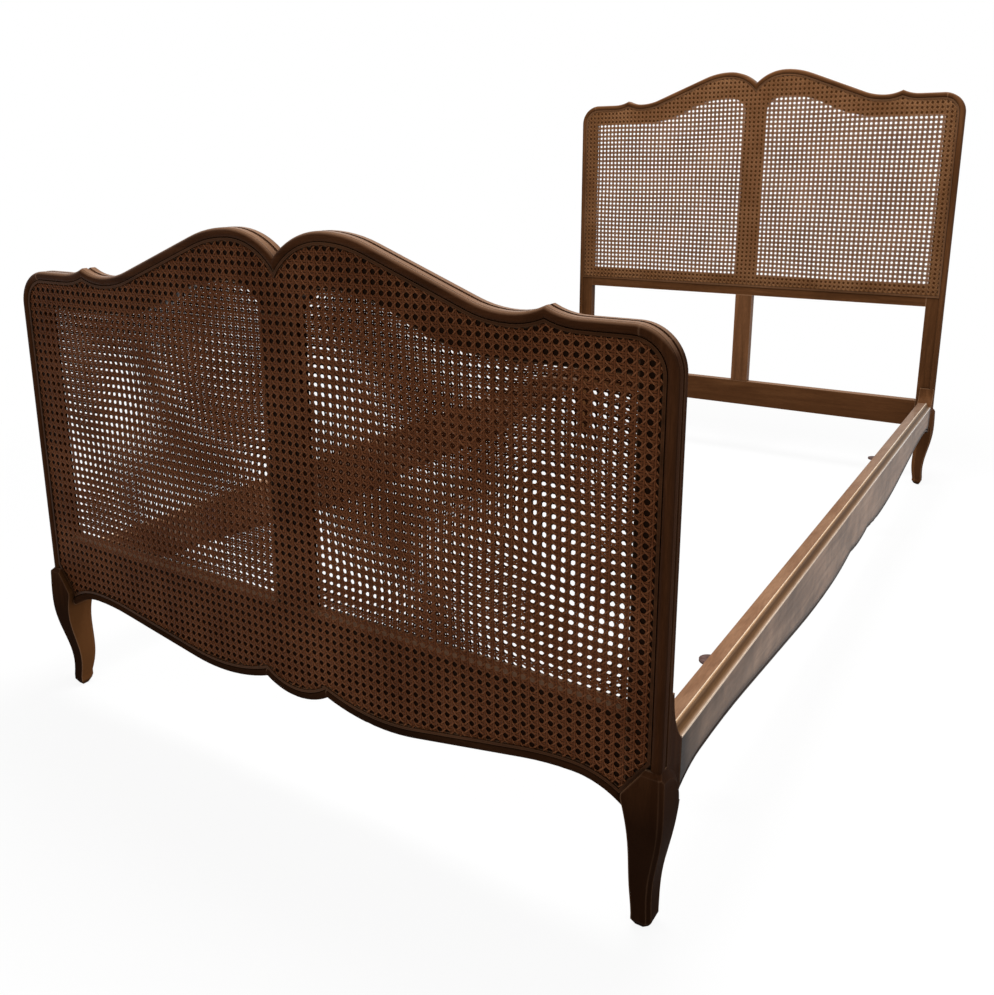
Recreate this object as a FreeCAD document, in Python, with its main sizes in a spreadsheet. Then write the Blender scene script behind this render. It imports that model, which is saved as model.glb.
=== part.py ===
import FreeCAD, Part
import math
import os
import Sketcher
from FreeCAD import Placement, Rotation, Vector

doc = FreeCAD.newDocument("cane_bed")
sheet = doc.addObject("Spreadsheet::Sheet", "dims")

# Driving dimensions in millimetres
SIZES = {
    # The whole bed
    "bed_width": 1128,
    "rail_length": 1918,
    "foot_top": 740,
    "head_top": 1092.5,
    "overrun": 20,
    "joint_gap": 0.3,
    "tenon_gap": 0.2,
    # Moulded edge of the end boards
    "board_depth": 34,
    "bead_radius": 7,
    "edge_width": 13.5,
    "quirk_width": 6,
    "quirk_depth": 2.5,
    "core_inset": 7,
    "core_face": 5,
    # Serpentine top, measured from the level shoulder beside the corner
    "corner_radius": 55,
    "ear_inset": 159,
    "ear_run": 45,
    "ear_rise": 10.5,
    "hump_x": 83,
    "hump_rise": 81.4,
    "notch_drop": 35,
    "hump_share": 0.4,
    "hollow_share": 0.3,
    # Openings behind the cane
    "opening_drop": 56,
    "opening_level_inset": 220,
    "opening_hump_x": 82,
    "opening_hump_rise": 65,
    "opening_heel_drop": 35,
    "muntin_shoulder": 32,
    "muntin_width": 58,
    # Posts and legs
    "post_width": 46,
    "post_depth": 65,
    "block_inset": 9,
    "block_bottom": 168,
    "block_top": 238,
    "foot_swell": 74,
    "head_swell": 47,
    "leg_height": 219,
    "collar_height": 5,
    "knee_out": 6.5,
    "ankle_in": 11,
    "knee_width": 51.5,
    "knee_depth": 60,
    "knee_round": 59,
    "knee_round_z": 165,
    "knee_slope": 11,
    "ankle_width": 25,
    "leg_back_cut": 9,
    "leg_front_cut": 5,
    "foot_chamfer": 5,
    "foot_chamfer_height": 9,
    # Tenons
    "tenon_thick": 10,
    "tenon_length": 28,
    "tenon_margin": 10,
    "stub_length": 14,
    # Footboard apron
    "apron_top": 288,
    "apron_bead": 12,
    "apron_bead_rise": 4,
    "apron_end_z": 162,
    "apron_arch_inset": 114,
    "apron_arch_z": 186,
    "apron_lobe_x": 160,
    "apron_lobe_z": 145,
    "apron_cusp_x": 58.5,
    "apron_cusp_z": 163,
    "apron_centre_z": 146,
    "apron_swell_share": 0.29,
    "apron_arch_share": 0.38,
    # Cane sheets and the splines that hold them
    "cane_thick": 1.6,
    "cane_open_share": 0.55,
    "groove_width": 4,
    "groove_depth": 4,
    "spline_gap": 0.1,
    "spline_proud": 2.6,
    "foot_cane_corner_z": 232,
    "foot_cane_low_inset": 5,
    "back_cane_lap": 8,
    "back_cane_z": 276,
    "head_cane_z": 544,
    # Headboard rails
    "mid_rail_bottom": 517.5,
    "mid_rail_top": 577.5,
    "bottom_rail_low": 172.4,
    "bottom_rail_high": 247,
    "bottom_rail_depth": 26,
    "lower_muntin_width": 51,
    # Side rails
    "rail_thick": 33,
    "rail_end_gap": 1.2,
    "rail_top": 249,
    "rail_edge_z": 239,
    "rail_cove_width": 10,
    "rail_bead": 4,
    "rail_bead_rise": 1.2,
    "rail_end_z": 165,
    "rail_arch_in": 70,
    "rail_arch_z": 179.5,
    "rail_lobe_y": 237,
    "rail_lobe_z": 131,
    "rail_cusp_y": 80,
    "rail_cusp_z": 142,
    "rail_centre_z": 136,
    "rail_scallop_shift": 64,
    "rail_swell_share": 0.47,
    "rail_arch_share": 0.36,
    "rail_edge_bead": 7,
    "rail_edge_crown": 0.3,
    "rail_edge_sink": 3,
    "rail_edge_quirk": 4,
    # Brackets under the bed base
    "bracket_foot_in": 259,
    "bracket_head_in": 475,
    "bracket_z": 205,
    "bracket_reach": 38,
    "bracket_width": 30,
    "bracket_thick": 3,
    "bracket_rise": 36,
    "bracket_hole_low": 13,
    "bracket_hole_high": 28,
    # Hook plates in the rail ends and slotted plates in the posts
    "plate_width": 16,
    "plate_height": 66,
    "plate_thick": 3,
    "plate_z": 171,
    "hook_thick": 4,
    "hook_arm": 8,
    "hook_lip": 6,
    "hook_low": 15,
    "hook_pitch": 25,
    "hook_gap": 0.4,
    "lift_travel": 8,
    "slot_width": 5,
    # Countersunk wood screws
    "screw_radius": 2,
    "screw_head_radius": 3.6,
    "screw_head": 2,
    "screw_length": 18,
    "screw_margin": 5,
}
for row, (name, value) in enumerate(SIZES.items(), start=1):
    sheet.set(f"A{row}", name)
    sheet.set(f"B{row}", str(value))
    sheet.setAlias(f"B{row}", name)
doc.recompute()


class Dims:
    """Reads a driving dimension from the sheet."""

    def __getattr__(self, name):
        return float(sheet.get(name))


dim = Dims()
half_width = dim.bed_width / 2
half_length = dim.rail_length / 2 + dim.post_depth
post_inner = half_width - dim.post_width
core_back = dim.board_depth - dim.core_face
peak_x = half_width - dim.ear_inset
valley_x = peak_x - dim.ear_run
ear_start_x = peak_x + dim.ear_run
rail_middle_x = half_width - dim.rail_thick / 2
NODES = {}

# Openings in each half of a cane sheet, a plain grid in place of the woven mesh
GRID_COLUMNS = 6
GRID_ROWS = 6

# Share of the leg's height, then how far its outside, width and depth have grown from ankle to knee
LEG_SHARES = (
    (1.00, 0.93, 1.00, 1.00),
    (0.845, 1.00, 1.08, 1.06),
    (0.68, 0.96, 0.74, 0.80),
    (0.507, 0.64, 0.45, 0.57),
    (0.34, 0.22, 0.22, 0.37),
    (0.228, 0.07, 0.10, 0.27),
    (0.137, 0.08, 0.02, 0.19),
    (0.08, 0.14, 0.00, 0.12),
)


# Plane geometry in the board's own frame: x across, y into the bed, z up
def at(x, z, y=0):
    return Vector(x, y, z)


def level_radius(run, rise):
    """Radius of an arc that starts level and climbs by rise over run."""
    return (run ** 2 + rise ** 2) / (2 * rise)


def line(start, end):
    return Part.LineSegment(start, end).toShape()


def arc_about(centre, start, end):
    reach = (start - centre).Length
    toward = ((start - centre) + (end - centre)).normalize()
    return Part.Arc(start, centre + toward * reach, end).toShape()


def over_circle(centre, radius, x):
    return at(x, centre.z + math.sqrt(radius ** 2 - (x - centre.x) ** 2))


def under_circle(centre, radius, x):
    return at(x, centre.z - math.sqrt(radius ** 2 - (x - centre.x) ** 2))


def between(centre, other, radius):
    """Point on the circle about centre that faces the other centre."""
    return centre + (other - centre).normalize() * radius


def circles_meet(centre, radius, other, other_radius):
    """Lower meeting point of two circles."""
    apart = other - centre
    along = (apart.Length ** 2 + radius ** 2 - other_radius ** 2) / (2 * apart.Length)
    rise = math.sqrt(radius ** 2 - along ** 2)
    ahead = Vector(apart).normalize()
    across = at(ahead.z, -ahead.x)
    foot = centre + ahead * along
    return min((foot + across * rise, foot - across * rise), key=lambda point: point.z)


def flank_ends(swell_centre, swell_radius, hollow_centre, hollow_radius, way):
    """Ends of an ogee's straight flank, on an upper edge (way 1) or a lower one (way -1)."""
    across = hollow_centre - swell_centre
    spread = math.acos((swell_radius + hollow_radius) / across.Length)
    angle = math.atan2(across.x, way * across.z) - spread
    normal = at(math.sin(angle), way * math.cos(angle))
    return swell_centre + normal * swell_radius, hollow_centre - normal * hollow_radius


def solid_between(edges, y_start, y_end):
    face = Part.Face(Part.Wire(edges))
    solid = face.extrude(Vector(0, y_end - y_start, 0))
    solid.translate(Vector(0, y_start, 0))
    return solid


def box_between(x_span, y_span, z_span):
    corner = Vector(x_span[0], y_span[0], z_span[0])
    return Part.makeBox(x_span[1] - x_span[0], y_span[1] - y_span[0], z_span[1] - z_span[0], corner)


def mirrored(shape):
    return shape.mirror(Vector(0, 0, 0), Vector(1, 0, 0))


def joined(shapes):
    return shapes[0].multiFuse(shapes[1:]).removeSplitter()


def both_halves(shape):
    return joined([shape, mirrored(shape)])


# Serpentine top edge of an end board, right half, moved inward by offset
def top_inner_run(z_top, offset, notch_x, ear_x):
    hump_z = z_top + dim.hump_rise
    notch_radius = level_radius(dim.hump_x, dim.notch_drop)
    ogee_radius = level_radius(valley_x - dim.hump_x, dim.hump_rise)
    hump_radius = ogee_radius * dim.hump_share
    hollow_radius = ogee_radius * dim.hollow_share
    ear_radius = level_radius(dim.ear_run, dim.ear_rise)
    notch_centre = at(dim.hump_x, hump_z - notch_radius)
    hump_centre = at(dim.hump_x, hump_z - hump_radius)
    hollow_centre = at(valley_x, z_top + hollow_radius)
    ear_centre = at(valley_x, z_top + ear_radius)
    notch = over_circle(notch_centre, notch_radius - offset, notch_x)
    hump = at(dim.hump_x, hump_z - offset)
    leave, land = flank_ends(hump_centre, hump_radius - offset, hollow_centre, hollow_radius + offset, 1)
    valley = at(valley_x, z_top - offset)
    ear = under_circle(ear_centre, ear_radius + offset, ear_x)
    return notch_centre, [
        arc_about(notch_centre, notch, hump),
        arc_about(hump_centre, hump, leave),
        line(leave, land),
        arc_about(hollow_centre, land, valley),
        arc_about(ear_centre, valley, ear),
    ]


def top_outer_run(z_top, offset, ear_x, z_low):
    ear_radius = level_radius(dim.ear_run, dim.ear_rise)
    ear_centre = at(ear_start_x, z_top + ear_radius)
    corner_centre = at(half_width - dim.corner_radius, z_top - dim.corner_radius)
    ear = under_circle(ear_centre, ear_radius + offset, ear_x)
    shoulder = at(ear_start_x, z_top - offset)
    corner_start = at(corner_centre.x, z_top - offset)
    corner_end = at(half_width - offset, corner_centre.z)
    return [
        arc_about(ear_centre, ear, shoulder),
        line(shoulder, corner_start),
        arc_about(corner_centre, corner_start, corner_end),
        line(corner_end, at(half_width - offset, z_low)),
    ]


def run_ends(edges):
    wire = Part.Wire(edges)
    points = [vertex.Point for vertex in wire.OrderedVertexes]
    return points[0], points[-1]


def swept(edges, profile):
    return Part.Wire(edges).makePipeShell([profile], True, False)


class Scallops:
    """Right half of a scalloped lower edge: middle, cusp, lobe, arch and end."""

    def __init__(self, centre_z, cusp, lobe, arch, end, shares):
        self.bottom = at(0, centre_z)
        self.cusp_x = cusp.x
        self.lobe = lobe
        self.arch = arch
        self.end_x = end.x
        limit = level_radius(arch.x - lobe.x, arch.z - lobe.z)
        self.swell_radius = limit * shares[0]
        self.arch_radius = limit * shares[1]
        self.middle_radius = level_radius(cusp.x, cusp.z - centre_z)
        self.lobe_radius = level_radius(lobe.x - cusp.x, cusp.z - lobe.z)
        self.end_radius = level_radius(end.x - arch.x, arch.z - end.z)
        self.middle_centre = self.bottom + at(0, self.middle_radius)
        self.lobe_centre = lobe + at(0, self.lobe_radius)
        self.swell_centre = lobe + at(0, self.swell_radius)
        self.arch_centre = arch - at(0, self.arch_radius)
        self.end_centre = arch - at(0, self.end_radius)

    def run(self, offset):
        """Edges from the middle to the arch, moved inward by offset."""
        swell_radius = self.swell_radius - offset
        arch_radius = self.arch_radius + offset
        rise = at(0, offset)
        point = circles_meet(
            self.middle_centre, self.middle_radius - offset, self.lobe_centre, self.lobe_radius - offset)
        leave, land = flank_ends(self.swell_centre, swell_radius, self.arch_centre, arch_radius, -1)
        return [
            arc_about(self.middle_centre, self.bottom + rise, point),
            arc_about(self.lobe_centre, point, self.lobe + rise),
            arc_about(self.swell_centre, self.lobe + rise, leave),
            line(leave, land),
            arc_about(self.arch_centre, land, self.arch + rise),
        ]

    def end_arc(self, offset, end_x):
        end = over_circle(self.end_centre, self.end_radius + offset, end_x)
        return arc_about(self.end_centre, self.arch + at(0, offset), end)

    def mouldings(self, profile, y_span, z_span):
        """A profile swept along the edge in two runs, mitred at the cusp."""
        over = dim.overrun
        middle_end = under_circle(self.middle_centre, self.middle_radius, self.cusp_x + over / 2)
        middle_path = [arc_about(self.middle_centre, self.bottom, middle_end)]
        middle = swept(middle_path, profile(self.bottom, at(0, 1)))
        lobe_start = under_circle(self.lobe_centre, self.lobe_radius, self.cusp_x - over / 2)
        outer_path = [arc_about(self.lobe_centre, lobe_start, self.lobe)]
        outer_path += self.run(0)[2:] + [self.end_arc(0, self.end_x + over)]
        outer = swept(outer_path, profile(lobe_start, (self.lobe_centre - lobe_start).normalize()))
        return [
            middle.common(box_between((0, self.cusp_x), y_span, z_span)),
            outer.common(box_between((self.cusp_x, self.end_x), y_span, z_span)),
        ]


APRON = Scallops(
    dim.apron_centre_z,
    at(dim.apron_cusp_x, dim.apron_cusp_z),
    at(dim.apron_lobe_x, dim.apron_lobe_z),
    at(half_width - dim.apron_arch_inset, dim.apron_arch_z),
    at(post_inner, dim.apron_end_z),
    (dim.apron_swell_share, dim.apron_arch_share),
)


# Moulded edge: two beads with a quirk between them
def edge_profile(start, inward):
    radius = dim.bead_radius
    depth = dim.board_depth
    quirk_start = (depth - dim.quirk_width) / 2
    quirk_end = (depth + dim.quirk_width) / 2

    def on(inset, y):
        return start + inward * inset + Vector(0, y, 0)

    flank = math.sqrt(radius ** 2 - (dim.edge_width - radius) ** 2)
    front_inner = on(dim.edge_width, radius - flank)
    front_outer = on(0, radius)
    back_outer = on(0, depth - radius)
    back_inner = on(dim.edge_width, depth - radius + flank)
    quirk_middle = on(dim.quirk_depth, depth / 2)
    return Part.Wire([
        Part.Arc(front_inner, on(radius, 0), front_outer).toShape(),
        line(front_outer, on(0, quirk_start)),
        Part.Arc(on(0, quirk_start), quirk_middle, on(0, quirk_end)).toShape(),
        line(on(0, quirk_end), back_outer),
        Part.Arc(back_outer, on(radius, depth), back_inner).toShape(),
        line(back_inner, front_inner),
    ])


def apron_bead_profile(start, inward):
    width = dim.apron_bead
    rise = dim.apron_bead_rise

    def on(inset, y):
        return start + inward * inset + Vector(0, y, 0)

    front = dim.core_face
    back = core_back
    return Part.Wire([
        Part.Arc(on(width, front), on(width / 2, front - rise), on(0, front)).toShape(),
        line(on(0, front), on(0, back)),
        Part.Arc(on(0, back), on(width / 2, back + rise), on(width, back)).toShape(),
        line(on(width, back), on(width, front)),
    ])


def rail_bead_cutter(start, inward):
    """What a moulding plane takes off a side rail to leave a bead along its lower edge."""
    width = dim.rail_edge_bead
    sink = dim.rail_edge_sink

    def on(inset, y):
        return start + inward * inset + Vector(0, y, 0)

    outline = [on(width, sink), on(width + dim.rail_edge_quirk, -sink), on(-sink, -sink), on(-sink, sink)]
    lines = [line(outline[index], outline[index + 1]) for index in range(3)]
    crown = Part.Arc(on(0, sink), on(width / 2, dim.rail_edge_crown), outline[0]).toShape()
    return Part.Wire(lines + [line(outline[3], on(0, sink)), crown])


def top_moulding(z_top, z_low):
    """Right half of the moulded edge, mitred at the notch and at the ear."""
    over = dim.overrun
    y_span = (-over, dim.board_depth + over)
    z_span = (0, z_top + dim.hump_rise + over)
    notch_centre, inner = top_inner_run(z_top, 0, -over, peak_x + over / 2)
    start = run_ends(inner)[0]
    inner_solid = swept(inner, edge_profile(start, (notch_centre - start).normalize()))
    inner_solid = inner_solid.common(box_between((0, peak_x), y_span, z_span))
    outer = list(reversed(top_outer_run(z_top, 0, peak_x - over / 2, z_low)))
    outer_solid = swept(outer, edge_profile(at(half_width, z_low), Vector(-1, 0, 0)))
    outer_solid = outer_solid.common(box_between((peak_x, half_width + over), y_span, z_span))
    return inner_solid, outer_solid


# Region of a board inside a given offset from its edge, right half
def board_region(z_top, offset, z_low, y_start, y_end):
    inner = top_inner_run(z_top, offset, 0, peak_x)[1]
    outer = top_outer_run(z_top, offset, peak_x, z_low)
    notch = run_ends(inner)[0]
    close = [
        line(at(half_width - offset, z_low), at(0, z_low)),
        line(at(0, z_low), notch),
    ]
    return solid_between(inner + outer + close, y_start, y_end)


def knee_slant(inset):
    """Ends of the slant over the knee that bounds the footboard's caned face."""
    radius = APRON.end_radius + dim.apron_bead
    low = over_circle(APRON.end_centre, radius, post_inner - dim.foot_cane_low_inset)
    high = at(half_width - dim.edge_width, dim.foot_cane_corner_z)
    along = (high - low).normalize()
    start = low + at(-along.z, along.x) * inset
    spoke = start - APRON.end_centre
    reach = spoke.dot(along)
    back = math.sqrt(reach ** 2 - spoke.dot(spoke) + (radius + inset) ** 2) - reach
    onward = (high.x - inset - start.x) / along.x
    return start + along * back, start + along * onward


def foot_front_region(inset, y_start, y_end):
    """Right half of the footboard's caned face, which follows the apron's scallops."""
    offset = dim.edge_width + inset
    low_offset = dim.apron_bead + inset
    inner = top_inner_run(dim.foot_top, offset, 0, peak_x)[1]
    low, high = knee_slant(inset)
    outer = top_outer_run(dim.foot_top, offset, peak_x, high.z)
    arch = APRON.arch + at(0, low_offset)
    bottom = APRON.bottom + at(0, low_offset)
    edges = inner + outer + [line(high, low), arc_about(APRON.end_centre, low, arch)]
    edges = edges + list(reversed(APRON.run(low_offset))) + [line(bottom, run_ends(inner)[0])]
    return solid_between(edges, y_start, y_end)


def foot_front_panel(inset, y_start, y_end):
    return both_halves(foot_front_region(inset, y_start, y_end))


def foot_back_panel(inset, y_start, y_end):
    """The footboard's inner caned face, close round the two openings."""
    low = dim.back_cane_z + inset
    region = board_region(dim.foot_top, dim.edge_width + inset, low, y_start, y_end)
    side = post_inner + dim.back_cane_lap - inset
    limit = box_between((0, side), (y_start, y_end), (low, dim.foot_top + dim.hump_rise))
    return both_halves(region.common(limit))


def head_panel(inset, y_start, y_end):
    low = dim.head_cane_z + inset
    return both_halves(board_region(dim.head_top, dim.edge_width + inset, low, y_start, y_end))


def cane_sheet(panel, y_span, z_low, z_high):
    """A cane sheet with its grid of openings, which fills the two fields of the frame."""
    left = dim.muntin_width / 2
    pitch = (post_inner - left) / GRID_COLUMNS
    rise = (z_high - z_low) / GRID_ROWS
    start_share = (1 - dim.cane_open_share) / 2
    end_share = 1 - start_share
    openings = []
    for column in range(GRID_COLUMNS):
        x_span = (left + pitch * (column + start_share), left + pitch * (column + end_share))
        for row in range(GRID_ROWS):
            z_span = (z_low + rise * (row + start_share), z_low + rise * (row + end_share))
            opening = box_between(x_span, y_span, z_span)
            openings += [opening, mirrored(opening)]
    return panel(dim.groove_width, *y_span).cut(openings)


def ring(panel, outer, inner, y_span):
    return panel(outer, *y_span).cut(panel(inner, *y_span))


FRONT_GROOVE = (-dim.overrun, dim.core_face + dim.groove_depth)
BACK_GROOVE = (core_back - dim.groove_depth, dim.board_depth + dim.overrun)
FRONT_SPLINE = (dim.core_face - dim.spline_proud, dim.core_face + dim.groove_depth - dim.spline_gap)
BACK_SPLINE = (core_back - dim.groove_depth + dim.spline_gap, core_back + dim.spline_proud)
FRONT_CANE = (dim.core_face - dim.cane_thick, dim.core_face)
BACK_CANE = (core_back, core_back + dim.cane_thick)


def groove(panel, y_span):
    return ring(panel, 0, dim.groove_width, y_span)


def spline(panel, y_span):
    return ring(panel, dim.spline_gap, dim.groove_width - dim.spline_gap, y_span)


foot_front_groove = groove(foot_front_panel, FRONT_GROOVE)
foot_back_groove = groove(foot_back_panel, BACK_GROOVE)
head_groove = groove(head_panel, BACK_GROOVE)


# Tenons and the mortises that take them, centred in the thickness of the core
def tenon_y_span(gap):
    middle = dim.board_depth / 2
    return middle - dim.tenon_thick / 2 - gap, middle + dim.tenon_thick / 2 + gap


def rail_tenon(z_span, gap):
    """Tenon of a rail's right end, in the post."""
    low, high = z_span
    cheek = dim.tenon_margin - gap
    x_span = (post_inner, post_inner + dim.tenon_length + gap)
    return box_between(x_span, tenon_y_span(gap), (low + cheek, high - cheek))


def stub_tenon(width, z_shoulder, way, gap):
    """Tenon of a muntin's end, above its shoulder (way 1) or below it (way -1)."""
    reach = z_shoulder + way * (dim.stub_length + gap)
    side = width / 2 - dim.tenon_margin + gap
    return box_between((-side, side), tenon_y_span(gap), sorted((z_shoulder, reach)))


def top_tenon_span(z_top):
    return z_top - dim.opening_drop, z_top - dim.edge_width / 2


# Posts with their legs
def leg_outline(outer, inner, front, back, z):
    """Section of a leg, with its outer front and inner back corners cut off."""
    corners = [
        at(outer - dim.leg_front_cut, z, front),
        at(inner, z, front),
        at(inner, z, back - dim.leg_back_cut),
        at(inner + dim.leg_back_cut, z, back),
        at(outer, z, back),
        at(outer, z, front + dim.leg_front_cut),
    ]
    return Part.makePolygon(corners + corners[:1])


def leg_section(height_share, out_share, width_share, depth_share):
    outer = half_width - dim.ankle_in + (dim.ankle_in + dim.knee_out) * out_share
    front = half_width - outer
    width = dim.ankle_width + (dim.knee_width - dim.ankle_width) * width_share
    depth = dim.ankle_width + (dim.knee_depth - dim.ankle_width) * depth_share
    return outer, outer - width, front, front + depth, dim.leg_height * height_share


def leg():
    """Cabriole leg from the knee to the chamfered foot."""
    sections = [leg_section(*shares) for shares in LEG_SHARES]
    outer, inner, front, back, _ = sections[-1]
    chamfer = dim.foot_chamfer
    sole = leg_outline(outer - chamfer, inner + chamfer, front + chamfer, back - chamfer, 0)
    welt = leg_outline(outer, inner, front, back, dim.foot_chamfer_height)
    shaft = Part.makeLoft([leg_outline(*section) for section in sections], True, False)
    pieces = [shaft]
    pieces.append(Part.makeLoft([leg_outline(*sections[-1]), welt], True, True))
    pieces.append(Part.makeLoft([welt, sole], True, True))
    return joined(pieces)


def collar():
    """Narrow lip from the knee back to the face of the post."""
    low = leg_outline(*leg_section(*LEG_SHARES[0]))
    high = leg_outline(half_width, post_inner, 0, dim.post_depth, dim.leg_height + dim.collar_height)
    return Part.makeLoft([low, high], True, True)


def knee_shoulder():
    """What is cut from the outer side of a knee, to leave it round behind the collar."""
    over = dim.overrun
    reach = 2 * dim.knee_out
    top = dim.leg_height + dim.collar_height + over
    x_span = (half_width, half_width + reach)
    side = box_between(x_span, (-over, dim.post_depth + over), (dim.knee_round_z, top))
    centre = Vector(half_width, 0, dim.knee_round_z)
    small = dim.knee_round - 2 * dim.knee_slope
    return side.cut(Part.makeCone(dim.knee_round, small, reach, centre, Vector(1, 0, 0)))


def rail_block(swell_height):
    """Block that carries the side rail, with the swell above it."""
    swell_top = dim.block_top + swell_height
    grow = dim.post_depth - dim.board_depth
    radius = level_radius(swell_height, grow)
    inner = post_inner + dim.block_inset
    low = at(inner, dim.block_bottom, dim.core_face)
    outline = [
        low,
        at(inner, dim.block_bottom, dim.post_depth),
        at(inner, dim.block_top, dim.post_depth),
        at(inner, swell_top, dim.board_depth),
        at(inner, swell_top, core_back),
        at(inner, dim.leg_height, core_back),
        at(inner, dim.leg_height, dim.core_face),
    ]
    swell_centre = outline[3] + Vector(0, radius, 0)
    edges = [line(outline[0], outline[1]), line(outline[1], outline[2])]
    edges.append(arc_about(swell_centre, outline[2], outline[3]))
    edges += [line(outline[index], outline[index + 1]) for index in (3, 4, 5)]
    edges.append(line(outline[6], low))
    return Part.Face(Part.Wire(edges)).extrude(Vector(dim.post_width - dim.block_inset, 0, 0))


def slot_span(index):
    low = dim.plate_z + dim.hook_low + dim.hook_pitch * index - dim.joint_gap
    return low, low + dim.hook_arm + dim.lift_travel + 2 * dim.joint_gap + dim.hook_gap


def plate_x_span(gap):
    reach = dim.plate_width / 2 + gap
    return rail_middle_x - reach, rail_middle_x + reach


def hook_x_span(gap):
    reach = dim.hook_thick / 2 + gap
    return rail_middle_x - reach, rail_middle_x + reach


def screw_heights():
    low = dim.plate_z + dim.screw_margin
    return low, dim.plate_z + dim.plate_height - dim.screw_margin


def plate_cuts():
    """Recess, hook pockets and screw holes for a slotted plate in a post."""
    recess_y = dim.post_depth - dim.plate_thick
    lip_y = recess_y - dim.hook_thick - 2 * dim.hook_gap - dim.joint_gap
    recess = box_between(
        plate_x_span(dim.tenon_gap),
        (recess_y, dim.post_depth + dim.overrun),
        (dim.plate_z - dim.tenon_gap, dim.plate_z + dim.plate_height + dim.tenon_gap),
    )
    cuts = [recess]
    for index in (0, 1):
        low, high = slot_span(index)
        pocket_x = hook_x_span((dim.slot_width - dim.hook_thick) / 2)
        cuts.append(box_between(pocket_x, (lip_y, recess_y), (low - dim.hook_lip - dim.hook_gap, high)))
    depth = dim.screw_length + dim.joint_gap
    for z in screw_heights():
        deep = Vector(rail_middle_x, dim.post_depth - depth, z)
        cuts.append(Part.makeCylinder(dim.screw_radius + dim.tenon_gap, depth, deep, Vector(0, 1, 0)))
    return cuts


def post(z_top, swell_height, tenons, cane_cuts):
    """Right post of an end board, outer face at y 0."""
    z_low = dim.leg_height
    over = dim.overrun
    rail_room = box_between((0, post_inner), (-over, dim.post_depth + over), (dim.apron_end_z, z_top))
    beyond = box_between((post_inner, half_width), (0, dim.board_depth), (z_low, z_top))
    core = board_region(z_top, dim.core_inset, z_low, dim.core_face, core_back).common(beyond)
    moulding = top_moulding(z_top, z_low)[1].common(beyond)
    solid = joined([core, moulding, rail_block(swell_height), leg(), collar()])
    for span in tenons:
        solid = solid.cut(rail_tenon(span, dim.tenon_gap))
    for cut in plate_cuts() + cane_cuts + [rail_room, knee_shoulder()]:
        solid = solid.cut(cut)
    return solid


# Top rail of an end board
def top_rail(z_top, grooves):
    core = board_region(z_top, dim.core_inset, z_top - dim.opening_drop, dim.core_face, core_back)
    low_z = z_top - dim.opening_drop
    heel_x = dim.muntin_width / 2
    rise_z = low_z + dim.opening_hump_rise
    heel_z = rise_z - dim.opening_heel_drop
    heel_radius = level_radius(dim.opening_hump_x - heel_x, dim.opening_heel_drop)
    level_x = half_width - dim.opening_level_inset
    run = level_x - dim.opening_hump_x
    ogee_radius = level_radius(run / 2, dim.opening_hump_rise / 2)
    heel_centre = at(dim.opening_hump_x, rise_z - heel_radius)
    hump_centre = at(dim.opening_hump_x, rise_z - ogee_radius)
    level_centre = at(level_x, low_z + ogee_radius)
    heel = at(heel_x, heel_z)
    hump = at(dim.opening_hump_x, rise_z)
    turn = between(hump_centre, level_centre, ogee_radius)
    level = at(level_x, low_z)
    shoulder_z = z_top - dim.muntin_shoulder
    opening = solid_between([
        arc_about(heel_centre, heel, hump),
        arc_about(hump_centre, hump, turn),
        arc_about(level_centre, turn, level),
        line(level, at(heel_x, low_z)),
        line(at(heel_x, low_z), heel),
    ], 0, dim.board_depth)
    under = box_between((0, heel_x), (0, dim.board_depth), (low_z, shoulder_z))
    inside = box_between((0, post_inner), (0, dim.board_depth), (0, z_top + dim.hump_rise))
    inner, outer = top_moulding(z_top, low_z)
    half = joined([core.cut(opening).cut(under), inner, outer]).common(inside)
    half = joined([half, rail_tenon(top_tenon_span(z_top), 0)])
    solid = both_halves(half)
    solid = solid.cut(stub_tenon(dim.muntin_width, shoulder_z, 1, dim.tenon_gap))
    for cut in grooves:
        solid = solid.cut(cut)
    return solid


# Scalloped apron of the footboard
def apron_tenon_span():
    return dim.apron_end_z + dim.apron_bead, dim.apron_top


def apron():
    top_z = dim.apron_top
    edges = APRON.run(0) + [APRON.end_arc(0, post_inner)]
    start, finish = run_ends(edges)
    edges += [
        line(finish, at(post_inner, top_z)),
        line(at(post_inner, top_z), at(0, top_z)),
        line(at(0, top_z), start),
    ]
    core = solid_between(edges, dim.core_face, core_back)
    y_span = (-dim.overrun, dim.board_depth + dim.overrun)
    beads = APRON.mouldings(apron_bead_profile, y_span, (0, top_z))
    solid = both_halves(joined([core, rail_tenon(apron_tenon_span(), 0)] + beads))
    solid = solid.cut(stub_tenon(dim.muntin_width, top_z, -1, dim.tenon_gap))
    return solid.cut(foot_front_groove).cut(foot_back_groove)


# Places a built shape as a named node of the foot end or the head end
def end_node(label, shape, head_end):
    feature = doc.addObject("Part::Feature", label)
    feature.Label = label
    way = 1 if head_end else -1
    feature.Shape = shape.mirror(Vector(0, 0, 0), Vector(0, 1, 0)) if head_end else shape
    feature.Placement = Placement(Vector(0, way * half_length, 0), Rotation())
    NODES[label] = feature


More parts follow.
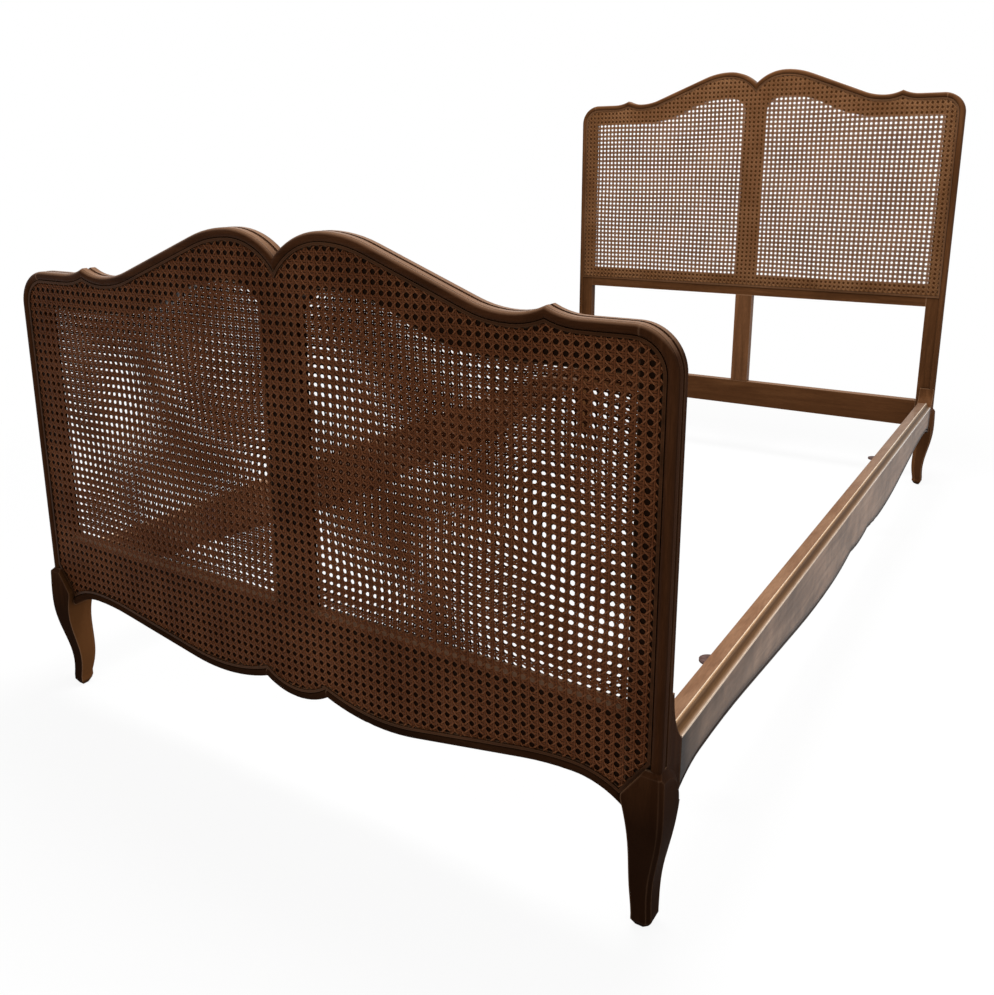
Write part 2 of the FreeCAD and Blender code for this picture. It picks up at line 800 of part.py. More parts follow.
foot_tenons = [top_tenon_span(dim.foot_top), apron_tenon_span()]
cane_seat = foot_front_region(0, -dim.overrun, dim.core_face)
foot_cuts = [foot_front_groove, foot_back_groove, cane_seat]
foot_post = post(dim.foot_top, dim.foot_swell, foot_tenons, foot_cuts)
end_node("foot_right_post", foot_post, False)
end_node("foot_left_post", mirrored(foot_post), False)
end_node("foot_top_rail", top_rail(dim.foot_top, [foot_front_groove, foot_back_groove]), False)
end_node("foot_apron", apron(), False)
foot_field = (dim.apron_top, dim.foot_top - dim.opening_drop)
end_node("foot_cane_front", cane_sheet(foot_front_panel, FRONT_CANE, *foot_field), False)
end_node("foot_cane_back", cane_sheet(foot_back_panel, BACK_CANE, *foot_field), False)
end_node("foot_spline_front", spline(foot_front_panel, FRONT_SPLINE), False)
end_node("foot_spline_back", spline(foot_back_panel, BACK_SPLINE), False)

head_tenons = [
    top_tenon_span(dim.head_top),
    (dim.mid_rail_bottom, dim.mid_rail_top),
    (dim.bottom_rail_low, dim.bottom_rail_high),
]
head_post = post(dim.head_top, dim.head_swell, head_tenons, [head_groove])
end_node("head_right_post", head_post, True)
end_node("head_left_post", mirrored(head_post), True)
end_node("head_top_rail", top_rail(dim.head_top, [head_groove]), True)
head_field = (dim.mid_rail_top, dim.head_top - dim.opening_drop)
end_node("head_cane", cane_sheet(head_panel, BACK_CANE, *head_field), True)
end_node("head_spline", spline(head_panel, BACK_SPLINE), True)


# Sketch helpers: every corner is tied to the sheet
def origin_plane(body, role):
    return next(feature for feature in body.Origin.OriginFeatures if feature.Role == role)


def new_sketch(body, name, role):
    sketch = body.newObject("Sketcher::SketchObject", name)
    sketch.AttachmentSupport = [(origin_plane(body, role), "")]
    sketch.MapMode = "FlatFace"
    return sketch


def value_of(expression):
    return float(sheet.evalExpression(expression))


def tie(sketch, kind, first, second, expression):
    """Distance from the sketch's origin to a corner, bound to the sheet."""
    if expression == "0":
        axis = -2 if kind == "DistanceX" else -1
        sketch.addConstraint(Sketcher.Constraint("PointOnObject", first, second, axis))
        return
    number = sketch.addConstraint(
        Sketcher.Constraint(kind, -1, 1, first, second, value_of(expression)))
    sketch.setExpression(f"Constraints[{number}]", expression)


def draw(sketch, corners):
    """Closed outline; a corner with a radius and a turn is reached by an arc."""
    points = [Vector(value_of(corner[0]), value_of(corner[1]), 0) for corner in corners]
    starts = []
    ends = []
    for index, corner in enumerate(corners):
        begin = points[index - 1]
        finish = points[index]
        if len(corner) == 2:
            number = sketch.addGeometry(Part.LineSegment(begin, finish))
            starts.append((number, 1))
            ends.append((number, 2))
            continue
        radius = value_of(corner[2])
        turn = corner[3]
        chord = finish - begin
        rise = math.sqrt(radius ** 2 - (chord.Length / 2) ** 2)
        across = Vector(-chord.y, chord.x, 0).normalize() * turn
        centre = begin + chord / 2 + across * rise
        first, last = (begin, finish) if turn > 0 else (finish, begin)
        angles = [math.atan2(point.y - centre.y, point.x - centre.x) for point in (first, last)]
        circle = Part.Circle(centre, Vector(0, 0, 1), radius)
        number = sketch.addGeometry(Part.ArcOfCircle(circle, *angles))
        starts.append((number, 1 if turn > 0 else 2))
        ends.append((number, 2 if turn > 0 else 1))
        limit = sketch.addConstraint(Sketcher.Constraint("Radius", number, radius))
        sketch.setExpression(f"Constraints[{limit}]", corner[2])
    for index, corner in enumerate(corners):
        following = starts[(index + 1) % len(corners)]
        sketch.addConstraint(Sketcher.Constraint("Coincident", *ends[index], *following))
        tie(sketch, "DistanceX", *ends[index], corner[0])
        tie(sketch, "DistanceY", *ends[index], corner[1])


def rectangle(left, right, low, high):
    return [(left, low), (right, low), (right, high), (left, high)]


def new_body(label):
    body = doc.addObject("PartDesign::Body", label)
    body.Label = label
    return body


def pad(body, name, role, corners, start, length):
    """Pad of an outline, from start over length along the plane's +Y or +X."""
    sketch = new_sketch(body, name + "_outline", role)
    flip = "-" if role == "XZ_Plane" else ""
    sketch.setExpression(".AttachmentOffset.Base.z", f"{flip}({start})")
    draw(sketch, corners)
    feature = body.newObject("PartDesign::Pad", name)
    feature.Profile = sketch
    feature.Reversed = role == "XZ_Plane"
    feature.setExpression("Length", length)
    doc.recompute()


def pocket(body, name, role, corners, start, length):
    sketch = new_sketch(body, name + "_outline", role)
    flip = "-" if role == "XZ_Plane" else ""
    sketch.setExpression(".AttachmentOffset.Base.z", f"{flip}({start})")
    draw(sketch, corners)
    cut_along(body, name, sketch, role, length)


def cut_along(body, name, sketch, role, length):
    before = body.Shape.Volume
    feature = body.newObject("PartDesign::Pocket", name)
    feature.Profile = sketch
    feature.Reversed = role != "XZ_Plane"
    feature.setExpression("Length", length)
    doc.recompute()
    if body.Shape.Volume >= before:
        raise ValueError(name + " cuts nothing")


# Straight members of the end boards
HEAD_FACE = "(dims.rail_length / 2 + dims.post_depth)"
FOOT_FACE = "(-dims.rail_length / 2 - dims.post_depth)"
CORE = "(dims.board_depth - 2 * dims.core_face)"
TENON_IN = "(dims.board_depth / 2 - dims.tenon_thick / 2)"
POST_INNER = "(dims.bed_width / 2 - dims.post_width)"


def core_start(head_end):
    if head_end:
        return f"{HEAD_FACE} - dims.core_face - {CORE}"
    return f"{FOOT_FACE} + dims.core_face"


def tenon_start(head_end):
    if head_end:
        return f"{HEAD_FACE} - {TENON_IN} - dims.tenon_thick"
    return f"{FOOT_FACE} + {TENON_IN}"


def muntin(label, head_end, width, low, high):
    body = new_body(label)
    NODES[label] = body
    side = f"{width} / 2"
    stick = rectangle(f"-{side}", side, low, high)
    pad(body, label + "_stick", "XZ_Plane", stick, core_start(head_end), CORE)
    cheek = f"({side} - dims.tenon_margin)"
    corners = rectangle(f"-{cheek}", cheek, f"{low} - dims.stub_length", f"{high} + dims.stub_length")
    pad(body, label + "_tenons", "XZ_Plane", corners, tenon_start(head_end), "dims.tenon_thick")


FOOT_SHOULDER = "dims.foot_top - dims.muntin_shoulder"
HEAD_SHOULDER = "dims.head_top - dims.muntin_shoulder"
LOWER_SPAN = ("dims.bottom_rail_high", "dims.mid_rail_bottom")
muntin("foot_muntin", False, "dims.muntin_width", "dims.apron_top", FOOT_SHOULDER)
muntin("head_upper_muntin", True, "dims.muntin_width", "dims.mid_rail_top", HEAD_SHOULDER)
muntin("head_lower_muntin", True, "dims.lower_muntin_width", *LOWER_SPAN)


def cross_rail(label, low, high, thick):
    """Straight rail of the headboard, tenoned into both posts."""
    body = new_body(label)
    NODES[label] = body
    start = f"{HEAD_FACE} - dims.core_face - {thick}"
    pad(body, label + "_board", "XZ_Plane", rectangle(f"-{POST_INNER}", POST_INNER, low, high), start, thick)
    tip = f"({POST_INNER} + dims.tenon_length)"
    corners = rectangle(f"-{tip}", tip, f"{low} + dims.tenon_margin", f"{high} - dims.tenon_margin")
    pad(body, label + "_tenons", "XZ_Plane", corners, tenon_start(True), "dims.tenon_thick")
    return body


def stub_mortise(body, name, width, shoulder, way):
    side = f"({width} / 2 - dims.tenon_margin + dims.tenon_gap)"
    reach = f"{shoulder} {way} (dims.stub_length + dims.tenon_gap)"
    low, high = (shoulder, reach) if way == "+" else (reach, shoulder)
    start = f"{tenon_start(True)} - dims.tenon_gap"
    thick = "dims.tenon_thick + 2 * dims.tenon_gap"
    pocket(body, name, "XZ_Plane", rectangle(f"-{side}", side, low, high), start, thick)


mid_rail = cross_rail("head_mid_rail", "dims.mid_rail_bottom", "dims.mid_rail_top", CORE)
stub_mortise(mid_rail, "upper_mortise", "dims.muntin_width", "dims.mid_rail_top", "-")
stub_mortise(mid_rail, "lower_mortise", "dims.lower_muntin_width", "dims.mid_rail_bottom", "+")
groove_corners = rectangle(
    f"-{POST_INNER}", POST_INNER, "dims.head_cane_z", "dims.head_cane_z + dims.groove_width")
groove_start = f"{HEAD_FACE} - dims.core_face - {CORE}"
pocket(mid_rail, "cane_groove", "XZ_Plane", groove_corners, groove_start, "dims.groove_depth")

bottom_rail = cross_rail(
    "head_bottom_rail", "dims.bottom_rail_low", "dims.bottom_rail_high", "dims.bottom_rail_depth")
stub_mortise(bottom_rail, "foot_mortise", "dims.lower_muntin_width", "dims.bottom_rail_high", "-")


# Side rails: the moulded section padded lengthwise, then scalloped and beaded below
def level_expression(run, rise):
    return f"(({run})^2 + ({rise})^2) / (2 * ({rise}))"


def rail_section(way):
    """Section in x and z, from the inner lower corner round to the inner top."""
    outer = RAIL_OUTER
    inner = RAIL_INNER
    cove = f"({outer} - dims.rail_cove_width)"
    bead = f"({cove} - dims.rail_bead)"
    low = "dims.rail_lobe_z - dims.overrun"
    cove_radius = level_expression("dims.rail_cove_width", "dims.rail_top - dims.rail_edge_z")
    bead_radius = level_expression("dims.rail_bead / 2", "dims.rail_bead_rise")
    sign = "" if way > 0 else "-"
    return [
        (f"{sign}{inner}", low),
        (f"{sign}{outer}", low),
        (f"{sign}{outer}", "dims.rail_edge_z"),
        (f"{sign}{cove}", "dims.rail_top", cove_radius, -way),
        (f"{sign}{bead}", "dims.rail_top", bead_radius, way),
        (f"{sign}{inner}", "dims.rail_top"),
    ]


def rail_half(shift):
    """Scallops from their own middle to one end of the rail, which lies nearer by shift."""
    end_x = dim.rail_length / 2 - shift
    return Scallops(
        dim.rail_centre_z,
        at(dim.rail_cusp_y, dim.rail_cusp_z),
        at(dim.rail_lobe_y, dim.rail_lobe_z),
        at(end_x - dim.rail_arch_in, dim.rail_arch_z),
        at(end_x, dim.rail_end_z),
        (dim.rail_swell_share, dim.rail_arch_share),
    )


def rail_half_waste(scallops):
    over = dim.overrun
    edges = scallops.run(0) + [scallops.end_arc(0, scallops.end_x + over)]
    start, finish = run_ends(edges)
    edges += [
        line(finish, at(finish.x, 0)),
        line(at(finish.x, 0), at(0, 0)),
        line(at(0, 0), start),
    ]
    waste = solid_between(edges, -over, dim.rail_thick + over)
    return joined([waste] + scallops.mouldings(rail_bead_cutter, (-over, over), (0, dim.rail_edge_z)))


def rail_waste():
    """All that is cut from below the right rail, seen from outside and then turned into place."""
    head_half = rail_half_waste(rail_half(dim.rail_scallop_shift))
    foot_half = mirrored(rail_half_waste(rail_half(-dim.rail_scallop_shift)))
    waste = joined([head_half, foot_half])
    waste.rotate(Vector(0, 0, 0), Vector(0, 0, 1), 90)
    waste.translate(Vector(half_width, dim.rail_scallop_shift, 0))
    return waste


def drill(body, name, role, centres, start, length):
    """Round holes for screw shanks, bound to the sheet."""
    sketch = new_sketch(body, name + "_outline", role)
    flip = "-" if role == "XZ_Plane" else ""
    sketch.setExpression(".AttachmentOffset.Base.z", f"{flip}({start})")
    radius = "dims.screw_radius + dims.tenon_gap"
    for across, height in centres:
        centre = Vector(value_of(across), value_of(height), 0)
        number = sketch.addGeometry(Part.Circle(centre, Vector(0, 0, 1), value_of(radius)))
        limit = sketch.addConstraint(Sketcher.Constraint("Radius", number, value_of(radius)))
        sketch.setExpression(f"Constraints[{limit}]", radius)
        tie(sketch, "DistanceX", number, 3, across)
        tie(sketch, "DistanceY", number, 3, height)
    cut_along(body, name, sketch, role, length)


RAIL_OUTER = "(dims.bed_width / 2)"
RAIL_MIDDLE = f"({RAIL_OUTER} - dims.rail_thick / 2)"
RAIL_INNER = f"({RAIL_OUTER} - dims.rail_thick)"
BLOCK_FACE = "(dims.rail_length / 2)"
RAIL_END = "(dims.rail_length / 2 - dims.rail_end_gap)"
SCREW_HEIGHTS = (
    "dims.plate_z + dims.screw_margin",
    "dims.plate_z + dims.plate_height - dims.screw_margin",
)
BRACKET_HOLES = (
    "dims.bracket_z + dims.bracket_hole_low",
    "dims.bracket_z + dims.bracket_hole_high",
)
BRACKET_PLACES = (
    "(-dims.rail_length / 2 + dims.bracket_foot_in)",
    "(dims.rail_length / 2 - dims.bracket_head_in)",
)
SHANK_ROOM = "(dims.screw_length + dims.joint_gap)"


def span(way, low, high):
    """Span between two places, or its mirror image."""
    return (low, high) if way > 0 else (f"-({high})", f"-({low})")


def grown(low, high, gap):
    return f"{low} - {gap}", f"{high} + {gap}"


def about(middle, width):
    return f"{middle} - {width} / 2", f"{middle} + {width} / 2"


def side_rail(label, way, waste):
    body = new_body(label + "_blank")
    length = f"(2 * {RAIL_END})"
    pad(body, label + "_bar", "XZ_Plane", rail_section(way), f"-{RAIL_END}", length)
    recess_x = span(way, *grown(*about(RAIL_MIDDLE, "dims.plate_width"), "dims.tenon_gap"))
    recess_z = grown("dims.plate_z", "dims.plate_z + dims.plate_height", "dims.tenon_gap")
    middle = RAIL_MIDDLE if way > 0 else f"-{RAIL_MIDDLE}"
    holes = [(middle, height) for height in SCREW_HEIGHTS]
    for end, name in ((-1, "foot"), (1, "head")):
        recess = span(end, f"{RAIL_END} - dims.plate_thick", RAIL_END)
        shank = span(end, f"{RAIL_END} - {SHANK_ROOM}", RAIL_END)
        corners = rectangle(*recess_x, *recess_z)
        pocket(body, f"{label}_{name}_recess", "XZ_Plane", corners, recess[0], "dims.plate_thick")
        drill(body, f"{label}_{name}_holes", "XZ_Plane", holes, shank[0], SHANK_ROOM)
    depth = f"({SHANK_ROOM} - dims.bracket_thick)"
    start = span(way, RAIL_INNER, f"{RAIL_INNER} + {depth}")[0]
    holes = [(place, height) for place in BRACKET_PLACES for height in BRACKET_HOLES]
    drill(body, f"{label}_bracket_holes", "YZ_Plane", holes, start, depth)
    tool = doc.addObject("Part::Feature", label + "_waste")
    tool.Shape = waste
    rail = doc.addObject("Part::Cut", label)
    rail.Base = body
    rail.Tool = tool
    NODES[label] = rail


right_waste = rail_waste()
side_rail("right_side_rail", 1, right_waste)
side_rail("left_side_rail", -1, mirrored(right_waste))


# Primitives bound to the sheet
def block(name, x_span, y_span, z_span):
    item = doc.addObject("Part::Box", name)
    for axis, side, (low, high) in zip("xyz", ("Length", "Width", "Height"), (x_span, y_span, z_span)):
        item.setExpression(side, f"{high} - ({low})")
        item.setExpression(f".Placement.Base.{axis}", low)
    return item


def turned(kind, name, direction, place, sizes):
    item = doc.addObject(f"Part::{kind}", name)
    item.Placement = Placement(Vector(0, 0, 0), Rotation(Vector(0, 0, 1), direction))
    for axis, where in zip("xyz", place):
        item.setExpression(f".Placement.Base.{axis}", where)
    for side, expression in sizes.items():
        item.setExpression(side, expression)
    return item


def fused(name, items):
    item = doc.addObject("Part::MultiFuse", name)
    item.Shapes = items
    return item


def cut_from(name, base, tools):
    item = doc.addObject("Part::Cut", name)
    item.Base = base
    item.Tool = fused(name + "_tools", tools)
    return item


def group(label, items):
    item = doc.addObject("Part::Compound", label)
    item.Links = items
    item.Label = label
    NODES[label] = item


def screw_body(name, direction, place, gap):
    """Countersunk screw with its head at place, driven along direction; or the hole for one."""
    axis = next(index for index in range(3) if direction[index])
    sign = "+" if direction[axis] > 0 else "-"
    neck = list(place)
    neck[axis] = f"{place[axis]} {sign} dims.screw_head"
    head_sizes = {
        "Radius1": f"dims.screw_head_radius + {gap}",
        "Radius2": f"dims.screw_radius + {gap}",
        "Height": "dims.screw_head",
    }
    shank_sizes = {
        "Radius": f"dims.screw_radius + {gap}",
        "Height": "dims.screw_length - dims.screw_head",
    }
    head = turned("Cone", name + "_head", direction, place, head_sizes)
    shank = turned("Cylinder", name + "_shank", direction, neck, shank_sizes)
    return fused(name, [head, shank])


def screw_set(name, direction, places):
    screws = []
    holes = []
    for index, place in enumerate(places):
        screws.append(screw_body(f"{name}_screw_{index}", direction, place, "0"))
        holes.append(screw_body(f"{name}_hole_{index}", direction, place, "dims.spline_gap"))
    return screws, holes


# Hook plates in the rail ends
def hook_heights(index):
    low = f"(dims.plate_z + dims.hook_low + {index} * dims.hook_pitch)"
    return low, f"({low} + dims.hook_arm)"


def hook_plate(name, way, end):
    plate_x = span(way, *about(RAIL_MIDDLE, "dims.plate_width"))
    hook_x = span(way, *about(RAIL_MIDDLE, "dims.hook_thick"))
    plate_z = ("dims.plate_z", "dims.plate_z + dims.plate_height")
    lip_start = f"({BLOCK_FACE} + dims.plate_thick + dims.hook_gap)"
    lip_end = f"({lip_start} + dims.hook_thick)"
    pieces = [block(name + "_flat", plate_x, span(end, f"{RAIL_END} - dims.plate_thick", RAIL_END), plate_z)]
    for index in (0, 1):
        low, high = hook_heights(index)
        pieces.append(block(f"{name}_arm_{index}", hook_x, span(end, RAIL_END, lip_end), (low, high)))
        lip_z = (f"{low} - dims.hook_lip", low)
        pieces.append(block(f"{name}_lip_{index}", hook_x, span(end, lip_start, lip_end), lip_z))
    middle = span(way, RAIL_MIDDLE, RAIL_MIDDLE)[0]
    face = span(end, RAIL_END, RAIL_END)[0]
    places = [(middle, face, height) for height in SCREW_HEIGHTS]
    screws, holes = screw_set(name, Vector(0, -end, 0), places)
    return cut_from(name, fused(name + "_blank", pieces), holes), screws


# Slotted plates in the posts
def slot_plate(name, way, end):
    plate_x = span(way, *about(RAIL_MIDDLE, "dims.plate_width"))
    slot_x = span(way, *about(RAIL_MIDDLE, "dims.slot_width"))
    plate_y = span(end, BLOCK_FACE, f"{BLOCK_FACE} + dims.plate_thick")
    plate_z = ("dims.plate_z", "dims.plate_z + dims.plate_height")
    flat = block(name + "_flat", plate_x, plate_y, plate_z)
    middle = span(way, RAIL_MIDDLE, RAIL_MIDDLE)[0]
    face = span(end, BLOCK_FACE, BLOCK_FACE)[0]
    places = [(middle, face, height) for height in SCREW_HEIGHTS]
    screws, cuts = screw_set(name, Vector(0, end, 0), places)
    for index in (0, 1):
        low, high = hook_heights(index)
        slot_z = (f"{low} - dims.joint_gap", f"{high} + dims.lift_travel + dims.joint_gap + dims.hook_gap")
        cuts.append(block(f"{name}_slot_{index}", slot_x, plate_y, slot_z))
    return cut_from(name, flat, cuts), screws


# Angle brackets that carry the bed base
def base_bracket(name, way, place):
    round_end = f"({RAIL_INNER} - dims.bracket_reach + dims.bracket_width / 2)"
    wing_y = about(place, "dims.bracket_width")
    tab_z = ("dims.bracket_z - dims.bracket_thick", "dims.bracket_z")
    leaf_z = (tab_z[0], "dims.bracket_z + dims.bracket_rise")
    leaf_x = span(way, f"{RAIL_INNER} - dims.bracket_thick", RAIL_INNER)
    leaf = block(name + "_leaf", leaf_x, wing_y, leaf_z)
    tab = block(name + "_tab", span(way, round_end, RAIL_INNER), wing_y, tab_z)
    tip_place = (span(way, round_end, round_end)[0], place, tab_z[0])
    tip_sizes = {"Radius": "dims.bracket_width / 2", "Height": "dims.bracket_thick"}
    tip = turned("Cylinder", name + "_tip", Vector(0, 0, 1), tip_place, tip_sizes)
    face = span(way, f"{RAIL_INNER} - dims.bracket_thick", RAIL_INNER)[0 if way > 0 else 1]
    places = [(face, place, height) for height in BRACKET_HOLES]
    screws, holes = screw_set(name, Vector(way, 0, 0), places)
    return cut_from(name, fused(name + "_blank", [leaf, tab, tip]), holes), screws


ENDS = ((-1, "foot"), (1, "head"))
SIDES = ((-1, "left"), (1, "right"))
for way, side in SIDES:
    plates = []
    plate_screws = []
    for end, name in ENDS:
        plate, screws = hook_plate(f"{side}_{name}_hook_plate", way, end)
        plates.append(plate)
        plate_screws += screws
    group(f"{side}_hook_plates", plates)
    group(f"{side}_hook_screws", plate_screws)
    brackets = []
    bracket_screws = []
    for place, (end, name) in zip(BRACKET_PLACES, ENDS):
        bracket, screws = base_bracket(f"{side}_{name}_bracket", way, place)
        brackets.append(bracket)
        bracket_screws += screws
    group(f"{side}_base_brackets", brackets)
    group(f"{side}_bracket_screws", bracket_screws)
for end, name in ENDS:
    plates = []
    plate_screws = []
    for way, side in SIDES:
        plate, screws = slot_plate(f"{name}_{side}_slot_plate", way, end)
        plates.append(plate)
        plate_screws += screws
    group(f"{name}_slot_plates", plates)
    group(f"{name}_plate_screws", plate_screws)


# Checks every feature, then writes one file for each node
doc.recompute()
failed = [item.Name for item in doc.Objects if "Invalid" in item.State or "Error" in item.State]
for label, node in NODES.items():
    if node.Shape.isNull() or not node.Shape.isValid() or not node.Shape.Solids:
        failed.append(label)
if failed:
    raise ValueError("failed: " + ", ".join(failed))
os.makedirs("parts", exist_ok=True)
for label, node in NODES.items():
    node.Shape.exportStep(f"parts/{label}.step")
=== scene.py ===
import math
from collections import namedtuple

import bpy
import numpy as np
from mathutils import Matrix, Vector


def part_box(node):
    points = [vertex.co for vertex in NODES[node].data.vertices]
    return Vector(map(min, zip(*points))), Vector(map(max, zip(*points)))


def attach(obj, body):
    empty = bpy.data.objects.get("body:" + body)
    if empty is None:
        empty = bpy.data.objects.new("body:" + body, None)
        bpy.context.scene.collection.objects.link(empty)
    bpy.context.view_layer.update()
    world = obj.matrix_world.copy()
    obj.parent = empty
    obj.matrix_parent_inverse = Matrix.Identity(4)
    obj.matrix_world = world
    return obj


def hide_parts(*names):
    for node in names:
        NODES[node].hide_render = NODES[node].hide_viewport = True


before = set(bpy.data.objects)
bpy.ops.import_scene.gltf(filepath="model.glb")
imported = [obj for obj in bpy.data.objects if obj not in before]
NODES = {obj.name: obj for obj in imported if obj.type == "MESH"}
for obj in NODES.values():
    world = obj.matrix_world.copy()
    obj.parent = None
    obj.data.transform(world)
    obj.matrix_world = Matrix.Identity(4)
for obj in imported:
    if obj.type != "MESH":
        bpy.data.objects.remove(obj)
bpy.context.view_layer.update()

# The photograph's camera, solved from the bed's own right angles, in metres, pixels and degrees
PHOTO_WIDTH = 994
PHOTO_HEIGHT = 995
CAMERA_PLACE = (0.9121, -1.9464, 0.8948)
CAMERA_YAW = 32.3494
CAMERA_PITCH = 13.9086
CAMERA_ROLL = -0.217
FOCAL_PIXELS = 964.0752
CENTRE_X = 483.8947
CENTRE_Y = 408.6973
SENSOR_WIDTH = 36


def make_camera():
    data = bpy.data.cameras.new("camera")
    camera = bpy.data.objects.new("camera", data)
    bpy.context.scene.collection.objects.link(camera)
    yaw = Matrix.Rotation(math.radians(CAMERA_YAW), 4, "Z")
    pitch = Matrix.Rotation(math.radians(90 - CAMERA_PITCH), 4, "X")
    roll = Matrix.Rotation(math.radians(CAMERA_ROLL), 4, "Z")
    camera.matrix_world = Matrix.Translation(CAMERA_PLACE) @ yaw @ pitch @ roll
    data.sensor_fit = "HORIZONTAL"
    data.sensor_width = SENSOR_WIDTH
    data.lens = SENSOR_WIDTH * FOCAL_PIXELS / PHOTO_WIDTH
    data.shift_x = (PHOTO_WIDTH / 2 - CENTRE_X) / PHOTO_WIDTH
    data.shift_y = (CENTRE_Y - PHOTO_HEIGHT / 2) / PHOTO_WIDTH
    bpy.context.scene.camera = camera


# Outline of a flat node, read from the frame: its outermost boundary in x and z as line segments
FLAT_NORMAL = 0.9
PLANE_TOLERANCE = 1e-5
PLACE_DIGITS = 6


def closed_loops(edges):
    touching = {}
    for edge in edges:
        for point in edge:
            touching.setdefault(point, []).append(edge)
    left = dict.fromkeys(edges)
    found = []
    for first in edges:
        if first not in left:
            continue
        del left[first]
        loop = [first]
        point = first[1]
        while point != first[0]:
            step = next(edge for edge in touching[point] if edge in left)
            del left[step]
            loop.append(step)
            point = step[1] if step[0] == point else step[0]
        found.append(loop)
    return found


def loop_width(loop):
    places = [point[0] for edge in loop for point in edge]
    return max(places) - min(places)


def flat_outline(node):
    mesh = NODES[node].data
    y_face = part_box(node)[1].y
    count = {}
    for polygon in mesh.polygons:
        if abs(polygon.normal.y) < FLAT_NORMAL:
            continue
        if abs(polygon.center.y - y_face) > PLANE_TOLERANCE:
            continue
        points = [mesh.vertices[index].co for index in polygon.vertices]
        keys = [(round(point.x, PLACE_DIGITS), round(point.z, PLACE_DIGITS)) for point in points]
        for start, end in zip(keys, keys[1:] + keys[:1]):
            if start == end:
                continue
            edge = (start, end) if start < end else (end, start)
            count[edge] = count.get(edge, 0) + 1
    edges = [edge for edge, uses in count.items() if uses == 1]
    return np.array(max(closed_loops(edges), key=loop_width), float)


def inside_spans(outline, origin, direction):
    """Stretches of a line that lie inside an outline, as distances along the direction."""
    normal = np.array((-direction[1], direction[0]))
    start = (outline[:, 0] - origin) @ normal
    end = (outline[:, 1] - origin) @ normal
    crossing = (start > 0) != (end > 0)
    share = start[crossing] / (start[crossing] - end[crossing])
    edge = outline[crossing, 1] - outline[crossing, 0]
    points = outline[crossing, 0] + share[:, None] * edge
    along = np.sort((points - origin) @ direction)
    return list(zip(along[0::2], along[1::2]))


# Six-way cane, in metres
CANE_PITCH = 0.0127
STRAND_WIDTH = 0.0028
DIAGONAL_WIDTH = 0.0021
STRAND_THICK = 0.0003
PAIR_SPREAD = 0.00158
WEAVE_LIFT = 0.0003
DIAGONAL_LIFT = 0.00062
STRAIGHT_STEP = 0.02
SLACK_FADE = 0.06

# A diagonal's wave: its steps between crossings, the share of a step kept clear of its ends,
# and the power that flattens its crests
STEPS_PER_CROSSING = 3
END_CLEAR = 0.2
CREST_POWER = 0.6

# Corners of a strand's section
RING = 4

# Slow waves by which slack cane wanders off its lattice: lengths along x and z, phase and share
WANDER_X = ((0.63, 0.29, 0.0, 1.0), (0.33, -0.81, 1.1, 0.7))
WANDER_Z = ((0.37, -0.59, 0.6, 1.0), (0.47, 0.35, 2.3, 0.7))


def wander(waves, x, z):
    return sum(
        share * np.sin(2 * math.pi * (x / x_length + z / z_length) + phase)
        for x_length, z_length, phase, share in waves
    )


class Strands:
    """Collects ribbons of cane into one mesh."""

    def __init__(self, box, facing, slack):
        self.low, self.high = box
        self.y_middle = (self.low.y + self.high.y) / 2
        self.facing = facing
        self.slack = slack
        self.vertices = []
        self.quads = []
        self.total = 0

    def drift(self, centre, distances):
        """How far a strand wanders off the true lattice: not at all where it is held."""
        x, z = centre[:, 0], centre[:, 1]
        held = np.minimum(distances - distances[0], distances[-1] - distances)
        free_x = np.minimum(held, np.minimum(x - self.low.x, self.high.x - x)) / SLACK_FADE
        free_z = np.minimum(held, np.minimum(z - self.low.z, self.high.z - z)) / SLACK_FADE
        along_x = wander(WANDER_X, x, z) * np.clip(free_x, 0, 1)
        along_z = wander(WANDER_Z, x, z) * np.clip(free_z, 0, 1)
        return self.slack * np.column_stack((along_x, along_z))

    def add(self, origin, direction, distances, heights, width):
        """Adds one ribbon: a flat four-sided tube along its line, closed at both ends."""
        centre = origin + distances[:, None] * direction
        centre = centre + self.drift(centre, distances)
        side = np.array((-direction[1], direction[0])) * width / 2
        left = centre - side
        right = centre + side
        y_centre = self.y_middle + self.facing * heights
        y_half = self.facing * STRAND_THICK / 2
        ring = np.stack((
            np.column_stack((left[:, 0], y_centre, left[:, 1])),
            np.column_stack((centre[:, 0], y_centre + y_half, centre[:, 1])),
            np.column_stack((right[:, 0], y_centre, right[:, 1])),
            np.column_stack((centre[:, 0], y_centre - y_half, centre[:, 1])),
        ), axis=1)
        count = len(distances)
        first = self.total + RING * np.arange(count - 1)
        for corner in range(RING):
            follow = (corner + 1) % RING
            self.quads.append(np.column_stack((
                first + corner, first + follow, first + RING + follow, first + RING + corner)))
        corners = np.arange(RING)
        last = self.total + RING * (count - 1)
        self.quads.append(np.array((self.total + corners[::-1], last + corners)))
        self.vertices.append(ring.reshape(-1, 3))
        self.total += RING * count

    def piece(self, name):
        vertices = np.concatenate(self.vertices)
        quads = np.concatenate(self.quads)
        mesh = bpy.data.meshes.new(name)
        mesh.vertices.add(len(vertices))
        mesh.vertices.foreach_set("co", vertices.ravel())
        mesh.loops.add(quads.size)
        mesh.loops.foreach_set("vertex_index", quads.ravel().astype(np.int32))
        mesh.polygons.add(len(quads))
        mesh.polygons.foreach_set("loop_start", np.arange(0, quads.size, RING, dtype=np.int32))
        mesh.polygons.foreach_set("use_smooth", np.ones(len(quads), bool))
        mesh.update(calc_edges=True)
        mesh.validate()
        piece = bpy.data.objects.new(name, mesh)
        bpy.context.scene.collection.objects.link(piece)
        return piece


